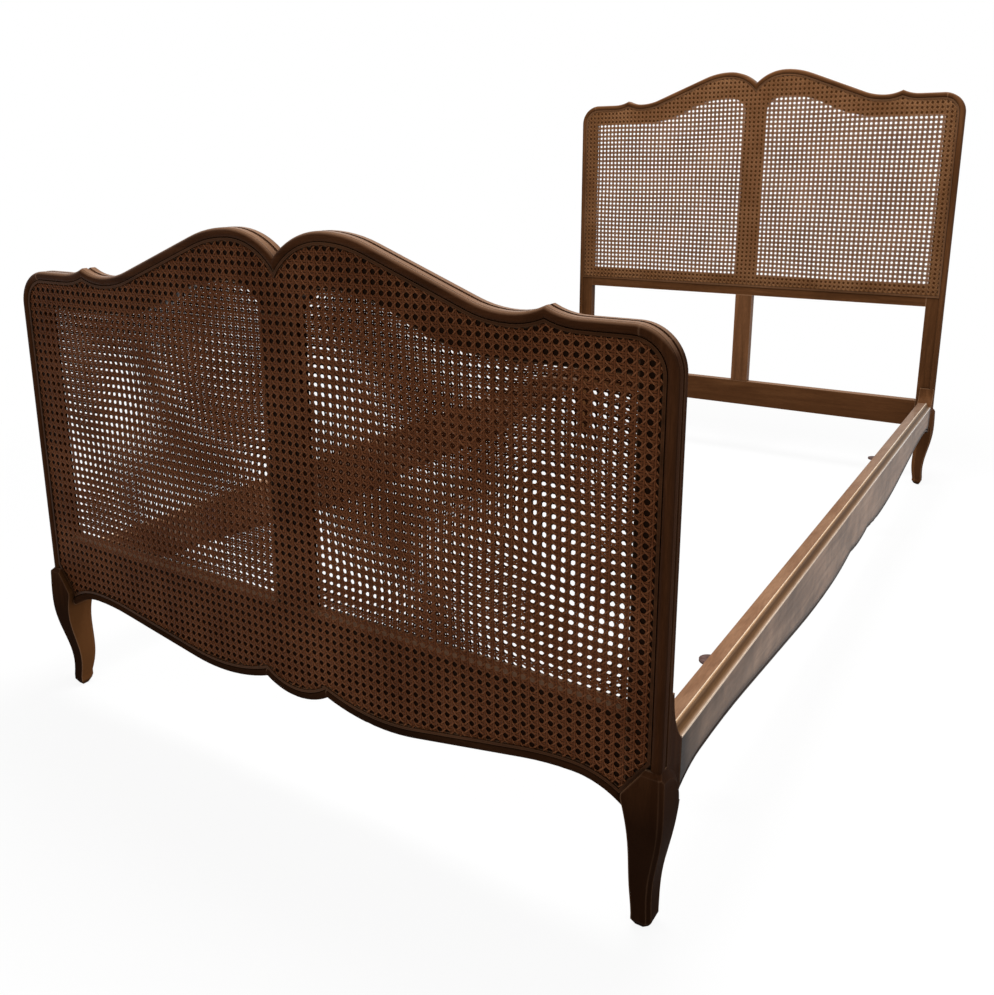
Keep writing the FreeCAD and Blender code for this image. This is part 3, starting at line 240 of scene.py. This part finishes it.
def weave(node, facing, slack):
    """Woven cane in place of a plain sheet: facing is the way of its good side along Y."""
    outline = flat_outline(node)
    low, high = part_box(node)

    def woven_spans(origin, direction):
        spans = inside_spans(outline, origin, direction)
        return [(start, end) for start, end in spans if end - start >= STRAND_WIDTH]

    def straight(direction, across_axis, suffix):
        strands = Strands((low, high), facing, slack)
        span = (low.x, high.x) if across_axis == 0 else (low.z, high.z)
        first = math.floor(span[0] / CANE_PITCH) - 1
        last = math.ceil(span[1] / CANE_PITCH) + 1
        for index in range(first, last):
            for way in (-1, 1):
                place = (index + 0.5) * CANE_PITCH + way * PAIR_SPREAD
                origin = np.array((place, 0.0) if across_axis == 0 else (0.0, place))
                level = way * WEAVE_LIFT if across_axis == 0 else 0.0
                for start, end in woven_spans(origin, direction):
                    count = math.ceil((end - start) / STRAIGHT_STEP) + 1
                    distances = np.linspace(start, end, count)
                    heights = np.full(count, level)
                    strands.add(origin, direction, distances, heights, STRAND_WIDTH)
        return strands.piece(f"{node}_{suffix}")

    def diagonal(way, suffix):
        direction = np.array((1.0, way)) / math.sqrt(2)
        step = CANE_PITCH / math.sqrt(2)
        fine = step / STEPS_PER_CROSSING
        halves = [Strands((low, high), facing, slack) for _ in range(2)]
        reach = high.x - low.x + high.z - low.z
        count = math.ceil(reach / CANE_PITCH) + 2
        middle = round(((low.x + high.x) / 2 - way * (low.z + high.z) / 2) / CANE_PITCH)
        for index in range(middle - count, middle + count):
            origin = np.array(((index + 0.5) * CANE_PITCH, 0.0))
            for start, end in woven_spans(origin, direction):
                first = math.ceil(start / fine + END_CLEAR)
                last = math.floor(end / fine - END_CLEAR)
                inner = np.arange(first, last + 1) * fine
                distances = np.concatenate(((start,), inner, (end,)))
                swing = np.cos(math.pi * distances / step)
                swing = np.sign(swing) * np.abs(swing) ** CREST_POWER
                heights = way * DIAGONAL_LIFT * swing
                strands = halves[int(index >= middle)]
                strands.add(origin, direction, distances, heights, DIAGONAL_WIDTH)
        return [half.piece(f"{node}_{suffix}_{number}") for number, half in enumerate(halves)]

    straights = [
        straight(np.array((0.0, 1.0)), 0, "uprights"),
        straight(np.array((1.0, 0.0)), 1, "levels"),
    ]
    diagonals = diagonal(1, "rising") + diagonal(-1, "falling")
    pieces = straights + diagonals
    for piece in pieces:
        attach(piece, "end_boards")
    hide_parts(node)
    return straights, diagonals


# Materials
WHITE = (1, 1, 1)
OCCLUSION_SAMPLES = 6

# The Mix node's sockets for colours
MIX_SHARE = 0
MIX_FIRST = 6
MIX_SECOND = 7
MIX_RESULT = 2


class Nodes:
    """A node tree with a few short-cuts."""

    def __init__(self, tree):
        self.tree = tree

    def feed(self, socket, value):
        """Links a socket to another one, or sets it; colours are given without alpha."""
        if isinstance(value, bpy.types.NodeSocket):
            self.tree.links.new(value, socket)
        elif socket.type == "RGBA":
            socket.default_value = (*value, 1)
        else:
            socket.default_value = value

    def node(self, kind, **inputs):
        node = self.tree.nodes.new(kind)
        for name, value in inputs.items():
            self.feed(node.inputs[name.replace("_", " ")], value)
        return node

    def rest_place(self):
        """Position in the shared frame at rest, so that looks ride along with a moved part."""
        return self.node("ShaderNodeTexCoord").outputs["Object"]

    def place(self):
        """Position in the shared frame at rest, axis by axis."""
        return self.node("ShaderNodeSeparateXYZ", Vector=self.rest_place()).outputs

    def stretched(self, scale):
        """Position stretched along the grain."""
        node = self.node("ShaderNodeMapping", Vector=self.rest_place(), Scale=scale)
        return node.outputs["Vector"]

    def noise(self, vector, scale, detail, rough, distortion=0.0):
        node = self.node("ShaderNodeTexNoise", Vector=vector, Scale=scale, Detail=detail,
                         Roughness=rough, Distortion=distortion)
        return node.outputs["Fac"]

    def ramp(self, value, places, colours):
        node = self.node("ShaderNodeValToRGB", Fac=value)
        elements = node.color_ramp.elements
        while len(elements) < len(places):
            elements.new(0.5)
        for element, place, colour in zip(elements, places, colours):
            element.position = place
            element.color = (*colour, 1)
        return node.outputs["Color"]

    def mix(self, share, first, second, blend="MIX"):
        node = self.node("ShaderNodeMix")
        node.data_type = "RGBA"
        node.blend_type = blend
        self.feed(node.inputs[MIX_SHARE], share)
        self.feed(node.inputs[MIX_FIRST], first)
        self.feed(node.inputs[MIX_SECOND], second)
        return node.outputs[MIX_RESULT]

    def tinted(self, colour, tint, share=1.0):
        return self.mix(share, colour, tint, "MULTIPLY")

    def remap(self, value, low, high, to_low, to_high):
        node = self.node("ShaderNodeMapRange", Value=value, From_Min=low, From_Max=high,
                         To_Min=to_low, To_Max=to_high)
        return node.outputs["Result"]

    def calc(self, operation, first, second=0.0):
        node = self.node("ShaderNodeMath")
        node.operation = operation
        self.feed(node.inputs[0], first)
        self.feed(node.inputs[1], second)
        return node.outputs[0]

    def times(self, first, second):
        return self.calc("MULTIPLY", first, second)

    def occlusion(self, distance, inside=False):
        """Openness round a place: low in corners, or with inside low on edges that stand out."""
        node = self.node("ShaderNodeAmbientOcclusion", Distance=distance)
        node.samples = OCCLUSION_SAMPLES
        node.inside = inside
        node.only_local = inside
        return node.outputs["AO"]

    def seen_directly(self):
        """1 on rays that show a thing itself: from the camera, in a reflection or through glass."""
        path = self.node("ShaderNodeLightPath").outputs
        seen = self.calc("MAXIMUM", path["Is Camera Ray"], path["Is Glossy Ray"])
        return self.calc("MAXIMUM", seen, path["Is Transmission Ray"])


class Shader(Nodes):
    """A material's node tree."""

    def __init__(self, name):
        self.material = bpy.data.materials.new(name)
        self.material.use_nodes = True
        super().__init__(self.material.node_tree)
        self.principled = self.tree.nodes["Principled BSDF"]

    def plug(self, name, value):
        self.feed(self.principled.inputs[name], value)

    def bump(self, height, strength, distance):
        node = self.node("ShaderNodeBump", Height=height, Strength=strength, Distance=distance)
        self.plug("Normal", node.outputs["Normal"])


# In the materials below a span (a, b, c, d) turns values from a to b into values from c to d,
# and a noise holds its scale, detail, roughness and distortion. Colours are linear.
GLOSS_TINT = (1.0, 0.6, 0.35)

# Stained hardwood: stretch along the grain, figure, fibres and broad clouds of stain
GRAINS = {
    "x": (1.0, 14.0, 14.0),
    "y": (14.0, 1.0, 14.0),
    "z": (14.0, 14.0, 1.0),
}
UNSTRETCHED = (1.0, 1.0, 1.0)
FIBRE_STRETCH = 4
FIGURE_NOISE = (3.2, 6.0, 0.6, 0.6)
FIBRE_NOISE = (14.0, 3.0, 0.6)
CLOUD_NOISE = (3.0, 3.0, 0.5)
TONE_PLACES = (0.28, 0.52, 0.78)
STREAK_SPAN = (0.35, 0.7, 0.8, 1.12)
PATCH_SPAN = (0.3, 0.7, 0.82, 1.18)
FIBRE_RANGE = (0.3, 0.75)
FIBRE_BUMP = (0.06, 0.0006)

# Painted shade with dirt in corners, dark lines of painted shade in crevices, and edges rubbed
# lighter as wear and a painted highlight, by the openness within a reach
DIRT_AND_SHADE_REACH = 0.012
DIRT_AND_SHADE_SPAN = (0.35, 0.95, 0.4, 1.0)
CREVICE_REACH = 0.004
CREVICE_RANGE = (0.3, 0.7)
EDGE_REACH = 0.0022
EDGE_SPAN = (0.9, 0.55, 0.0, 0.9)
EDGE_PATCH_SPAN = (0.35, 0.65, 0.25, 1.0)


def wood_grain(shade, grain, tones):
    """Colour, fibre and clouds of stained hardwood with its grain along one axis."""
    stretch = GRAINS[grain]
    fine_stretch = tuple(FIBRE_STRETCH * value for value in stretch)
    figure = shade.noise(shade.stretched(stretch), *FIGURE_NOISE)
    fibre = shade.noise(shade.stretched(fine_stretch), *FIBRE_NOISE)
    cloud = shade.noise(shade.stretched(UNSTRETCHED), *CLOUD_NOISE)
    colour = shade.ramp(figure, TONE_PLACES, tones)
    streak = shade.remap(fibre, *STREAK_SPAN)
    patch = shade.remap(cloud, *PATCH_SPAN)
    return shade.tinted(colour, shade.times(streak, patch)), fibre, cloud


def wear_and_shade(shade, colour, worn, cloud, line):
    """Darkens corners, and crevices down to the line's value, as painted shade with dirt, and rubs
    the edges lighter, as wear and a painted highlight.
    """
    # Painted shade with dirt: corners and crevices go darker where they close in
    dirt_and_shade = shade.remap(shade.occlusion(DIRT_AND_SHADE_REACH), *DIRT_AND_SHADE_SPAN)
    crevice = shade.remap(shade.occlusion(CREVICE_REACH), *CREVICE_RANGE, line, 1.0)
    colour = shade.tinted(colour, shade.times(dirt_and_shade, crevice))
    # Edges rubbed lighter: wear, and a painted highlight
    edge = shade.remap(shade.occlusion(EDGE_REACH, True), *EDGE_SPAN)
    rubbed_and_lit = shade.times(edge, shade.remap(cloud, *EDGE_PATCH_SPAN))
    return shade.mix(rubbed_and_lit, colour, worn)


def polish(shade, colour, fibre, rough, gloss, matt=0.0):
    """Finishes a wood: roughness follows the fibre, but is nowhere less than matt."""
    shade.plug("Base Color", colour)
    satin = shade.remap(fibre, *FIBRE_RANGE, *rough)
    shade.plug("Roughness", shade.calc("MAXIMUM", satin, matt))
    shade.plug("Specular IOR Level", gloss)
    shade.plug("Specular Tint", GLOSS_TINT)
    shade.bump(fibre, *FIBRE_BUMP)
    return shade.material


# End boards: planes holds the depth of the wood behind each cane sheet, which above cane_low gets a
# dark colour as painted shade; the same dark colour paints shade on the legs' outer faces and on
# faces turned outward
Board = namedtuple("Board", "tones worn core planes cane_low")
# FOOT and HEAD hold a shaded and a lit copy of one stained wood: the foot's colours are darkened as
# painted shade, the head's lightened as painted light
FOOT = Board(
    tones=((0.032, 0.011, 0.004), (0.060, 0.021, 0.008), (0.100, 0.038, 0.015)),
    worn=(0.29, 0.160, 0.092),
    core=(0.012, 0.005, 0.0025),
    planes=(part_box("foot_cane_front")[1].y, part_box("foot_cane_back")[0].y),
    cane_low=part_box("foot_cane_front")[0].z,
)
HEAD = Board(
    tones=((0.058, 0.023, 0.0085), (0.098, 0.039, 0.0145), (0.150, 0.064, 0.025)),
    worn=(0.27, 0.145, 0.078),
    core=(0.074, 0.029, 0.011),
    planes=(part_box("head_cane")[1].y,),
    cane_low=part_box("head_cane")[0].z,
)
LEG_LIT = (0.19, 0.078, 0.026)
FRAME_ROUGH = (0.24, 0.36)
FRAME_GLOSS = 0.02
FRAME_CREVICE = 0.65

# Legs, by height, and their faces, by how far they turn outward, with painted shade outside and
# painted light inside; matt keeps them from shining
LEG_SPAN = (0.15, 0.27, 0.85, 0.0)
LEG_OUTER_SPAN = (-0.1, 0.4, 0.0, 1.0)
LEG_INNER_SPAN = (-0.3, -0.8, 0.0, 0.6)
OUTWARD_SHADE_SPAN = (0.3, 0.9, 0.0, 0.5)
MATT_LEG_SPAN = (0.2, 0.3, 0.85, 0.0)
MATT_OUTWARD_SPAN = (0.3, 0.9, 0.0, 0.75)

# Tops, lighter as a painted highlight, by height and by how far they face up, and the planes behind
# the cane, by distance, which get painted shade
TOP_SPAN = (0.4, 0.5, 0.0, 1.0)
TOP_HIGHLIGHT_SPAN = (0.4, 0.95, 0.0, 0.7)
LEVEL_LIGHT_SPAN = (0.94, 0.99, 0.0, 0.75)
PLANE_SPAN = (0.0002, 0.0004, 1.0, 0.0)
CANE_LOW_FADE = 0.001


def frame_wood(name, grain, board):
    """Wood of an end board: dark with painted shade behind the cane, outside the legs and on
    outward faces, lighter with painted light inside the legs and a painted highlight on top.
    """
    shade = Shader(name)
    colour, fibre, cloud = wood_grain(shade, grain, board.tones)
    place = shade.place()
    normal = shade.node("ShaderNodeNewGeometry").outputs["Normal"]
    facing = shade.node("ShaderNodeSeparateXYZ", Vector=normal).outputs
    outward = shade.times(shade.calc("SIGN", place["X"]), facing["X"])
    outer = shade.calc("MAXIMUM", outward, shade.times(facing["Y"], -1.0))
    leg = shade.remap(place["Z"], *LEG_SPAN)
    leg_outside = shade.times(leg, shade.remap(outer, *LEG_OUTER_SPAN))
    # Painted shade: the legs' outer faces and faces turned outward go dark
    colour = shade.mix(leg_outside, colour, board.core)
    colour = shade.mix(shade.remap(outward, *OUTWARD_SHADE_SPAN), colour, board.core)
    # Painted light: the legs' inner faces go lighter
    leg_inside = shade.times(leg, shade.remap(outward, *LEG_INNER_SPAN))
    colour = shade.mix(leg_inside, colour, LEG_LIT)
    # Painted highlight: tops and level faces go lighter
    high = shade.remap(place["Z"], *TOP_SPAN)
    rubbed_and_lit = shade.times(high, shade.remap(facing["Z"], *TOP_HIGHLIGHT_SPAN))
    level = shade.remap(facing["Z"], *LEVEL_LIGHT_SPAN)
    colour = shade.mix(shade.calc("MAXIMUM", rubbed_and_lit, level), colour, board.worn)
    # Painted shade on the wood behind the cane
    behind = shade.remap(place["Z"], board.cane_low - CANE_LOW_FADE, board.cane_low, 0.0, 1.0)
    for plane in board.planes:
        apart = shade.calc("ABSOLUTE", shade.calc("SUBTRACT", place["Y"], plane))
        on_plane = shade.remap(apart, *PLANE_SPAN)
        colour = shade.mix(shade.times(on_plane, behind), colour, board.core)
    colour = wear_and_shade(shade, colour, board.worn, cloud, FRAME_CREVICE)
    matt_leg = shade.remap(place["Z"], *MATT_LEG_SPAN)
    matt = shade.calc("MAXIMUM", matt_leg, shade.remap(outward, *MATT_OUTWARD_SPAN))
    return polish(shade, colour, fibre, FRAME_ROUGH, FRAME_GLOSS, matt)


# Wood without masks, for the splines and the headboard's lower muntin
PLAIN_ROUGH = (0.34, 0.48)
PLAIN_GLOSS = 0.06
MUNTIN_TONES = ((0.084, 0.036, 0.015), (0.142, 0.060, 0.025), (0.218, 0.099, 0.044))
# The foot spline's edge colour is darker than the head's as painted shade, the head's lighter as
# painted light
FOOT_REED_WORN_AND_LIT = (0.10, 0.05, 0.026)
HEAD_REED_WORN_AND_LIT = (0.24, 0.13, 0.07)


def plain_wood(name, grain, tones, worn):
    shade = Shader(name)
    colour, fibre, cloud = wood_grain(shade, grain, tones)
    colour = wear_and_shade(shade, colour, worn, cloud, FRAME_CREVICE)
    return polish(shade, colour, fibre, PLAIN_ROUGH, PLAIN_GLOSS)


# Side rails: box read from the frame, height where the moulded top begins, and colours of the top
# from the inner edge (0) over the flat and its ridge to the outer edge (1), with a painted
# highlight on the ridge and at the outer edge and painted shade in the cove between them
RAIL_LOW, RAIL_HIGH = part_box("right_side_rail")
RAIL_ARRIS = 0.2368
RAIL_SECTION = (
    (0.0, (0.275, 0.150, 0.084)),
    (0.57, (0.290, 0.162, 0.093)),
    (0.598, (0.94, 0.74, 0.54)),
    (0.622, (0.94, 0.74, 0.54)),
    (0.65, (0.50, 0.30, 0.165)),
    (0.73, (0.11, 0.052, 0.021)),
    (0.82, (0.13, 0.065, 0.027)),
    (0.89, (0.22, 0.125, 0.066)),
    (0.95, (0.40, 0.275, 0.190)),
    (1.0, (0.80, 0.64, 0.50)),
)
RAIL_TONES = ((0.130, 0.077, 0.051), (0.204, 0.130, 0.090), (0.286, 0.197, 0.142))
RAIL_WORN_AND_LIT = (0.34, 0.23, 0.16)
RAIL_BEAD_SHADE = (0.022, 0.012, 0.009)
RAIL_END_SHADE = (0.012, 0.006, 0.004)
RAIL_ROUGH = (0.3, 0.42)
RAIL_GLOSS = 0.03
RAIL_CREVICE = 0.35

# The rail's face: blotches and scuffs, lighter towards the head as a painted reflection, dark at
# the foot, dark along the lower edge's bead as painted shade, and dark at the ends as painted shade
# where it meets the posts
BLOTCH_STRETCH = (1.0, 1.5, 1.6)
BLOTCH_NOISE = (5.0, 5.0, 0.6, 0.8)
BLOTCH_SPAN = (0.38, 0.63, 0.74, 1.3)
SCUFF_STRETCH = (1.0, 1.3, 1.0)
SCUFF_NOISE = (24.0, 4.0, 0.6)
SCUFF_SPAN = (0.3, 0.7, 0.9, 1.1)
HEADWARD_REFLECTION_SPAN = (-0.8, 0.0, 0.95, 1.22)
FOOT_END_SPAN = (-0.96, -0.8, 0.55, 1.0)
BEAD_SHADE_REACH = 0.02
BEAD_SHADE_SPAN = (0.98, 0.88, 0.0, 0.9)
BEAD_SHADE_HEIGHT_SPAN = (RAIL_ARRIS - 0.05, RAIL_ARRIS - 0.03, 1.0, 0.0)
END_SHADE_SPAN = (RAIL_HIGH.y - 0.032, RAIL_HIGH.y - 0.009, 0.0, 0.95)

# The rail's top: a changing cast on the flat, streaks, and a paler, greyer half towards the head
RAIL_TOP_SPAN = (RAIL_ARRIS - 0.0006, RAIL_ARRIS + 0.0002, 0.0, 1.0)
CAST_STRETCH = (4.0, 1.0, 4.0)
CAST_NOISE = (7.0, 5.0, 0.62, 0.5)
CAST_SPAN = (0.4, 0.62, 0.0, 1.0)
CAST_DARK = (0.82, 0.75, 0.71)
CAST_LIGHT = (1.10, 1.08, 1.06)
FLAT_SPAN = (0.54, 0.58, 1.0, 0.3)
TOP_STREAK_SPAN = (0.35, 0.7, 0.84, 1.12)
TOP_DULL_SPAN = (-0.65, -0.35, 1.0, 0.84)
HEADWARD_PALE = (1.05, 1.22, 1.45)
HEADWARD_PALE_SPAN = (-0.05, 0.5, 0.0, 1.0)


def rail_face(shade, colour, cloud, place):
    blotch = shade.noise(shade.stretched(BLOTCH_STRETCH), *BLOTCH_NOISE)
    scuff = shade.noise(shade.stretched(SCUFF_STRETCH), *SCUFF_NOISE)
    marks_and_reflection = shade.times(shade.remap(blotch, *BLOTCH_SPAN), shade.remap(scuff, *SCUFF_SPAN))
    # Painted reflection: lighter towards the head
    marks_and_reflection = shade.times(marks_and_reflection, shade.remap(place["Y"], *HEADWARD_REFLECTION_SPAN))
    marks_and_reflection = shade.times(marks_and_reflection, shade.remap(place["Y"], *FOOT_END_SPAN))
    colour = wear_and_shade(shade, shade.tinted(colour, marks_and_reflection), RAIL_WORN_AND_LIT, cloud, RAIL_CREVICE)
    # Painted shade along the lower edge, for a bead's shadow line
    bead_shade = shade.remap(shade.occlusion(BEAD_SHADE_REACH, True), *BEAD_SHADE_SPAN)
    bead_shade = shade.times(bead_shade, shade.remap(place["Z"], *BEAD_SHADE_HEIGHT_SPAN))
    colour = shade.mix(bead_shade, colour, RAIL_BEAD_SHADE)
    # Painted shade at the ends, where the rail meets the posts
    end_shade = shade.remap(shade.calc("ABSOLUTE", place["Y"]), *END_SHADE_SPAN)
    return shade.mix(end_shade, colour, RAIL_END_SHADE)


def rail_top(shade, fibre, place):
    across = shade.calc("ABSOLUTE", place["X"])
    across = shade.remap(across, RAIL_LOW.x, RAIL_HIGH.x, 0.0, 1.0)
    # Painted highlight on the ridge and the outer edge, painted shade in the cove
    colour = shade.ramp(across, *zip(*RAIL_SECTION))
    cast = shade.noise(shade.stretched(CAST_STRETCH), *CAST_NOISE)
    cast = shade.mix(shade.remap(cast, *CAST_SPAN), CAST_DARK, CAST_LIGHT)
    colour = shade.tinted(colour, cast, shade.remap(across, *FLAT_SPAN))
    colour = shade.tinted(colour, shade.remap(fibre, *TOP_STREAK_SPAN))
    colour = shade.tinted(colour, shade.remap(place["Y"], *TOP_DULL_SPAN))
    paled = shade.tinted(colour, HEADWARD_PALE)
    return shade.mix(shade.remap(place["Y"], *HEADWARD_PALE_SPAN), colour, paled)


def rail_wood(name):
    """Wood of a side rail: its face, and over it the moulded top with a painted highlight on its
    ridge.
    """
    shade = Shader(name)
    colour, fibre, cloud = wood_grain(shade, "y", RAIL_TONES)
    place = shade.place()
    face = rail_face(shade, colour, cloud, place)
    top = rail_top(shade, fibre, place)
    colour = shade.mix(shade.remap(place["Z"], *RAIL_TOP_SPAN), face, top)
    return polish(shade, colour, fibre, RAIL_ROUGH, RAIL_GLOSS)


# Cane: broad changes of stain and fine flecks
STAIN_NOISE = (9.0, 3.0, 0.5)
STAIN_PLACES = (0.3, 0.72)
FLECK_NOISE = (420.0, 2.0, 0.5)
FLECK_SPAN = (0.25, 0.75, 0.75, 1.25)
CANE_ROUGH_SPAN = (0.3, 0.7, 0.36, 0.52)
CANE_GLOSS = 0.05
CANE_BUMP = (0.15, 0.0002)


def cane_material(name, dark, light):
    """Stained cane strands, each a little different along its length."""
    shade = Shader(name)
    place = shade.rest_place()
    stain = shade.noise(place, *STAIN_NOISE)
    fleck = shade.noise(place, *FLECK_NOISE)
    colour = shade.ramp(stain, STAIN_PLACES, (dark, light))
    shade.plug("Base Color", shade.tinted(colour, shade.remap(fleck, *FLECK_SPAN)))
    shade.plug("Roughness", shade.remap(fleck, *CANE_ROUGH_SPAN))
    shade.plug("Specular IOR Level", CANE_GLOSS)
    shade.plug("Specular Tint", GLOSS_TINT)
    shade.bump(fleck, *CANE_BUMP)
    return shade.material


# Metal with spots of rust, rougher where it is rusty
RUST_NOISE = (160.0, 5.0, 0.65)
RUST_PLACES = (0.35, 0.62)
RUST_RANGE = (0.3, 0.7)
RUST_ROUGHER = 0.2
METALLIC = 0.7
METAL_BUMP = (0.2, 0.0003)


def metal(name, colour, rust, rough):
    shade = Shader(name)
    spots = shade.noise(shade.rest_place(), *RUST_NOISE)
    shade.plug("Base Color", shade.ramp(spots, RUST_PLACES, (rust, colour)))
    shade.plug("Metallic", METALLIC)
    shade.plug("Roughness", shade.remap(spots, *RUST_RANGE, rough + RUST_ROUGHER, rough))
    shade.bump(spots, *METAL_BUMP)
    return shade.material


def dress(material, *names):
    for name in names:
        NODES[name].data.materials.clear()
        NODES[name].data.materials.append(material)


foot_x = frame_wood("foot_wood_level", "x", FOOT)
foot_z = frame_wood("foot_wood_upright", "z", FOOT)
head_x = frame_wood("head_wood_level", "x", HEAD)
head_z = frame_wood("head_wood_upright", "z", HEAD)
head_bare = plain_wood("head_wood_bare", "z", MUNTIN_TONES, HEAD.worn)
rail_y = rail_wood("rail_wood")
foot_reed = plain_wood("foot_spline", "x", FOOT.tones, FOOT_REED_WORN_AND_LIT)
head_reed = plain_wood("head_spline", "x", HEAD.tones, HEAD_REED_WORN_AND_LIT)
iron = metal("bracket_iron", (0.15, 0.085, 0.072), (0.085, 0.042, 0.032), 0.5)
steel = metal("plate_steel", (0.36, 0.34, 0.31), (0.17, 0.12, 0.085), 0.34)
# The foot's cane is a shaded copy of the head's: darker as painted shade, the head's lighter as
# painted light
foot_cane = cane_material("foot_cane", (0.103, 0.032, 0.0116), (0.168, 0.057, 0.022))
foot_cane_light = cane_material("foot_cane_light", (0.152, 0.053, 0.021), (0.240, 0.093, 0.040))
head_cane = cane_material("head_cane", (0.140, 0.058, 0.021), (0.230, 0.105, 0.044))
head_cane_light = cane_material("head_cane_light", (0.190, 0.083, 0.033), (0.300, 0.150, 0.070))

dress(foot_z, "foot_left_post", "foot_right_post", "foot_muntin")
dress(head_z, "head_left_post", "head_right_post", "head_upper_muntin")
dress(head_bare, "head_lower_muntin")
dress(foot_x, "foot_top_rail", "foot_apron")
dress(head_x, "head_top_rail", "head_mid_rail", "head_bottom_rail")
dress(rail_y, "left_side_rail", "right_side_rail")
dress(foot_reed, "foot_spline_front", "foot_spline_back")
dress(head_reed, "head_spline")
dress(iron, "left_base_brackets", "right_base_brackets")
dress(steel, "left_hook_plates", "right_hook_plates", "foot_slot_plates", "head_slot_plates")
dress(steel, "left_hook_screws", "right_hook_screws", "foot_plate_screws", "head_plate_screws")
dress(steel, "left_bracket_screws", "right_bracket_screws")

# Cane sheets: node, the way of the good side along Y, slack, and cane of straights and diagonals
SHEETS = (
    ("foot_cane_front", -1, 0.0005, foot_cane, foot_cane_light),
    ("foot_cane_back", 1, 0.0026, foot_cane, foot_cane_light),
    ("head_cane", -1, 0.0006, head_cane, head_cane_light),
)
for node, facing, slack, *canes in SHEETS:
    for pieces, cane in zip(weave(node, facing, slack), canes):
        for piece in pieces:
            piece.data.materials.append(cane)


# Studio: pale floor that fades to white away from the bed, white surroundings and two lamps
FLOOR_SIZE = 30
FLOOR_BOUNCE = (0.5, 0.49, 0.48)
FLOOR_SEEN = (0.95, 0.95, 0.95)
FLOOR_ROUGH = 0.9
FLOOR_GLOW_SPAN = (1.2, 2.4, 0.9, 1.0)
WORLD_LIGHT = 0.62
WORLD_SEEN = 1.0

# Each lamp's name, place, aim, size in metres and power in watts
LAMPS = (
    ("overhead", (0.1, -0.2, 2.7), (0.0, 0.3, 0.4), (1.3, 0.8), 55),
    ("right_side", (3.2, 0.4, 1.7), (0.2, 0.2, 0.4), (2.6, 1.8), 18),
)


def make_floor():
    shade = Shader("floor")
    seen = shade.seen_directly()
    shade.plug("Base Color", shade.mix(seen, FLOOR_BOUNCE, FLOOR_SEEN))
    shade.plug("Roughness", FLOOR_ROUGH)
    shade.plug("Specular IOR Level", 0.0)
    place = shade.node("ShaderNodeNewGeometry").outputs["Position"]
    length = shade.node("ShaderNodeVectorMath", Vector=place)
    length.operation = "LENGTH"
    share = shade.remap(length.outputs["Value"], *FLOOR_GLOW_SPAN)
    glow = shade.node("ShaderNodeEmission", Color=WHITE, Strength=1.0)
    blend = shade.node("ShaderNodeMixShader", Fac=shade.times(seen, share))
    shade.feed(blend.inputs[1], shade.principled.outputs[0])
    shade.feed(blend.inputs[2], glow.outputs[0])
    shade.feed(shade.tree.nodes["Material Output"].inputs["Surface"], blend.outputs[0])
    ways = ((-1, -1), (1, -1), (1, 1), (-1, 1))
    corners = [(x * FLOOR_SIZE, y * FLOOR_SIZE, 0) for x, y in ways]
    mesh = bpy.data.meshes.new("floor")
    mesh.from_pydata(corners, [], [(0, 1, 2, 3)])
    floor = bpy.data.objects.new("floor", mesh)
    bpy.context.scene.collection.objects.link(floor)
    mesh.materials.append(shade.material)


def make_world():
    world = bpy.data.worlds.new("studio")
    bpy.context.scene.world = world
    world.use_nodes = True
    sky = Nodes(world.node_tree)
    background = sky.tree.nodes["Background"].inputs
    strength = sky.remap(sky.seen_directly(), 0.0, 1.0, WORLD_LIGHT, WORLD_SEEN)
    sky.feed(background["Strength"], strength)
    sky.feed(background["Color"], WHITE)


def area_light(name, place, aim, size, power):
    data = bpy.data.lights.new(name, "AREA")
    data.shape = "RECTANGLE"
    data.size, data.size_y = size
    data.energy = power
    lamp = bpy.data.objects.new(name, data)
    lamp.location = place
    lamp.rotation_euler = (Vector(aim) - Vector(place)).to_track_quat("-Z", "Y").to_euler()
    bpy.context.scene.collection.objects.link(lamp)


make_camera()
make_floor()
make_world()
for lamp in LAMPS:
    area_light(*lamp)
bpy.context.scene.view_settings.view_transform = "Standard"
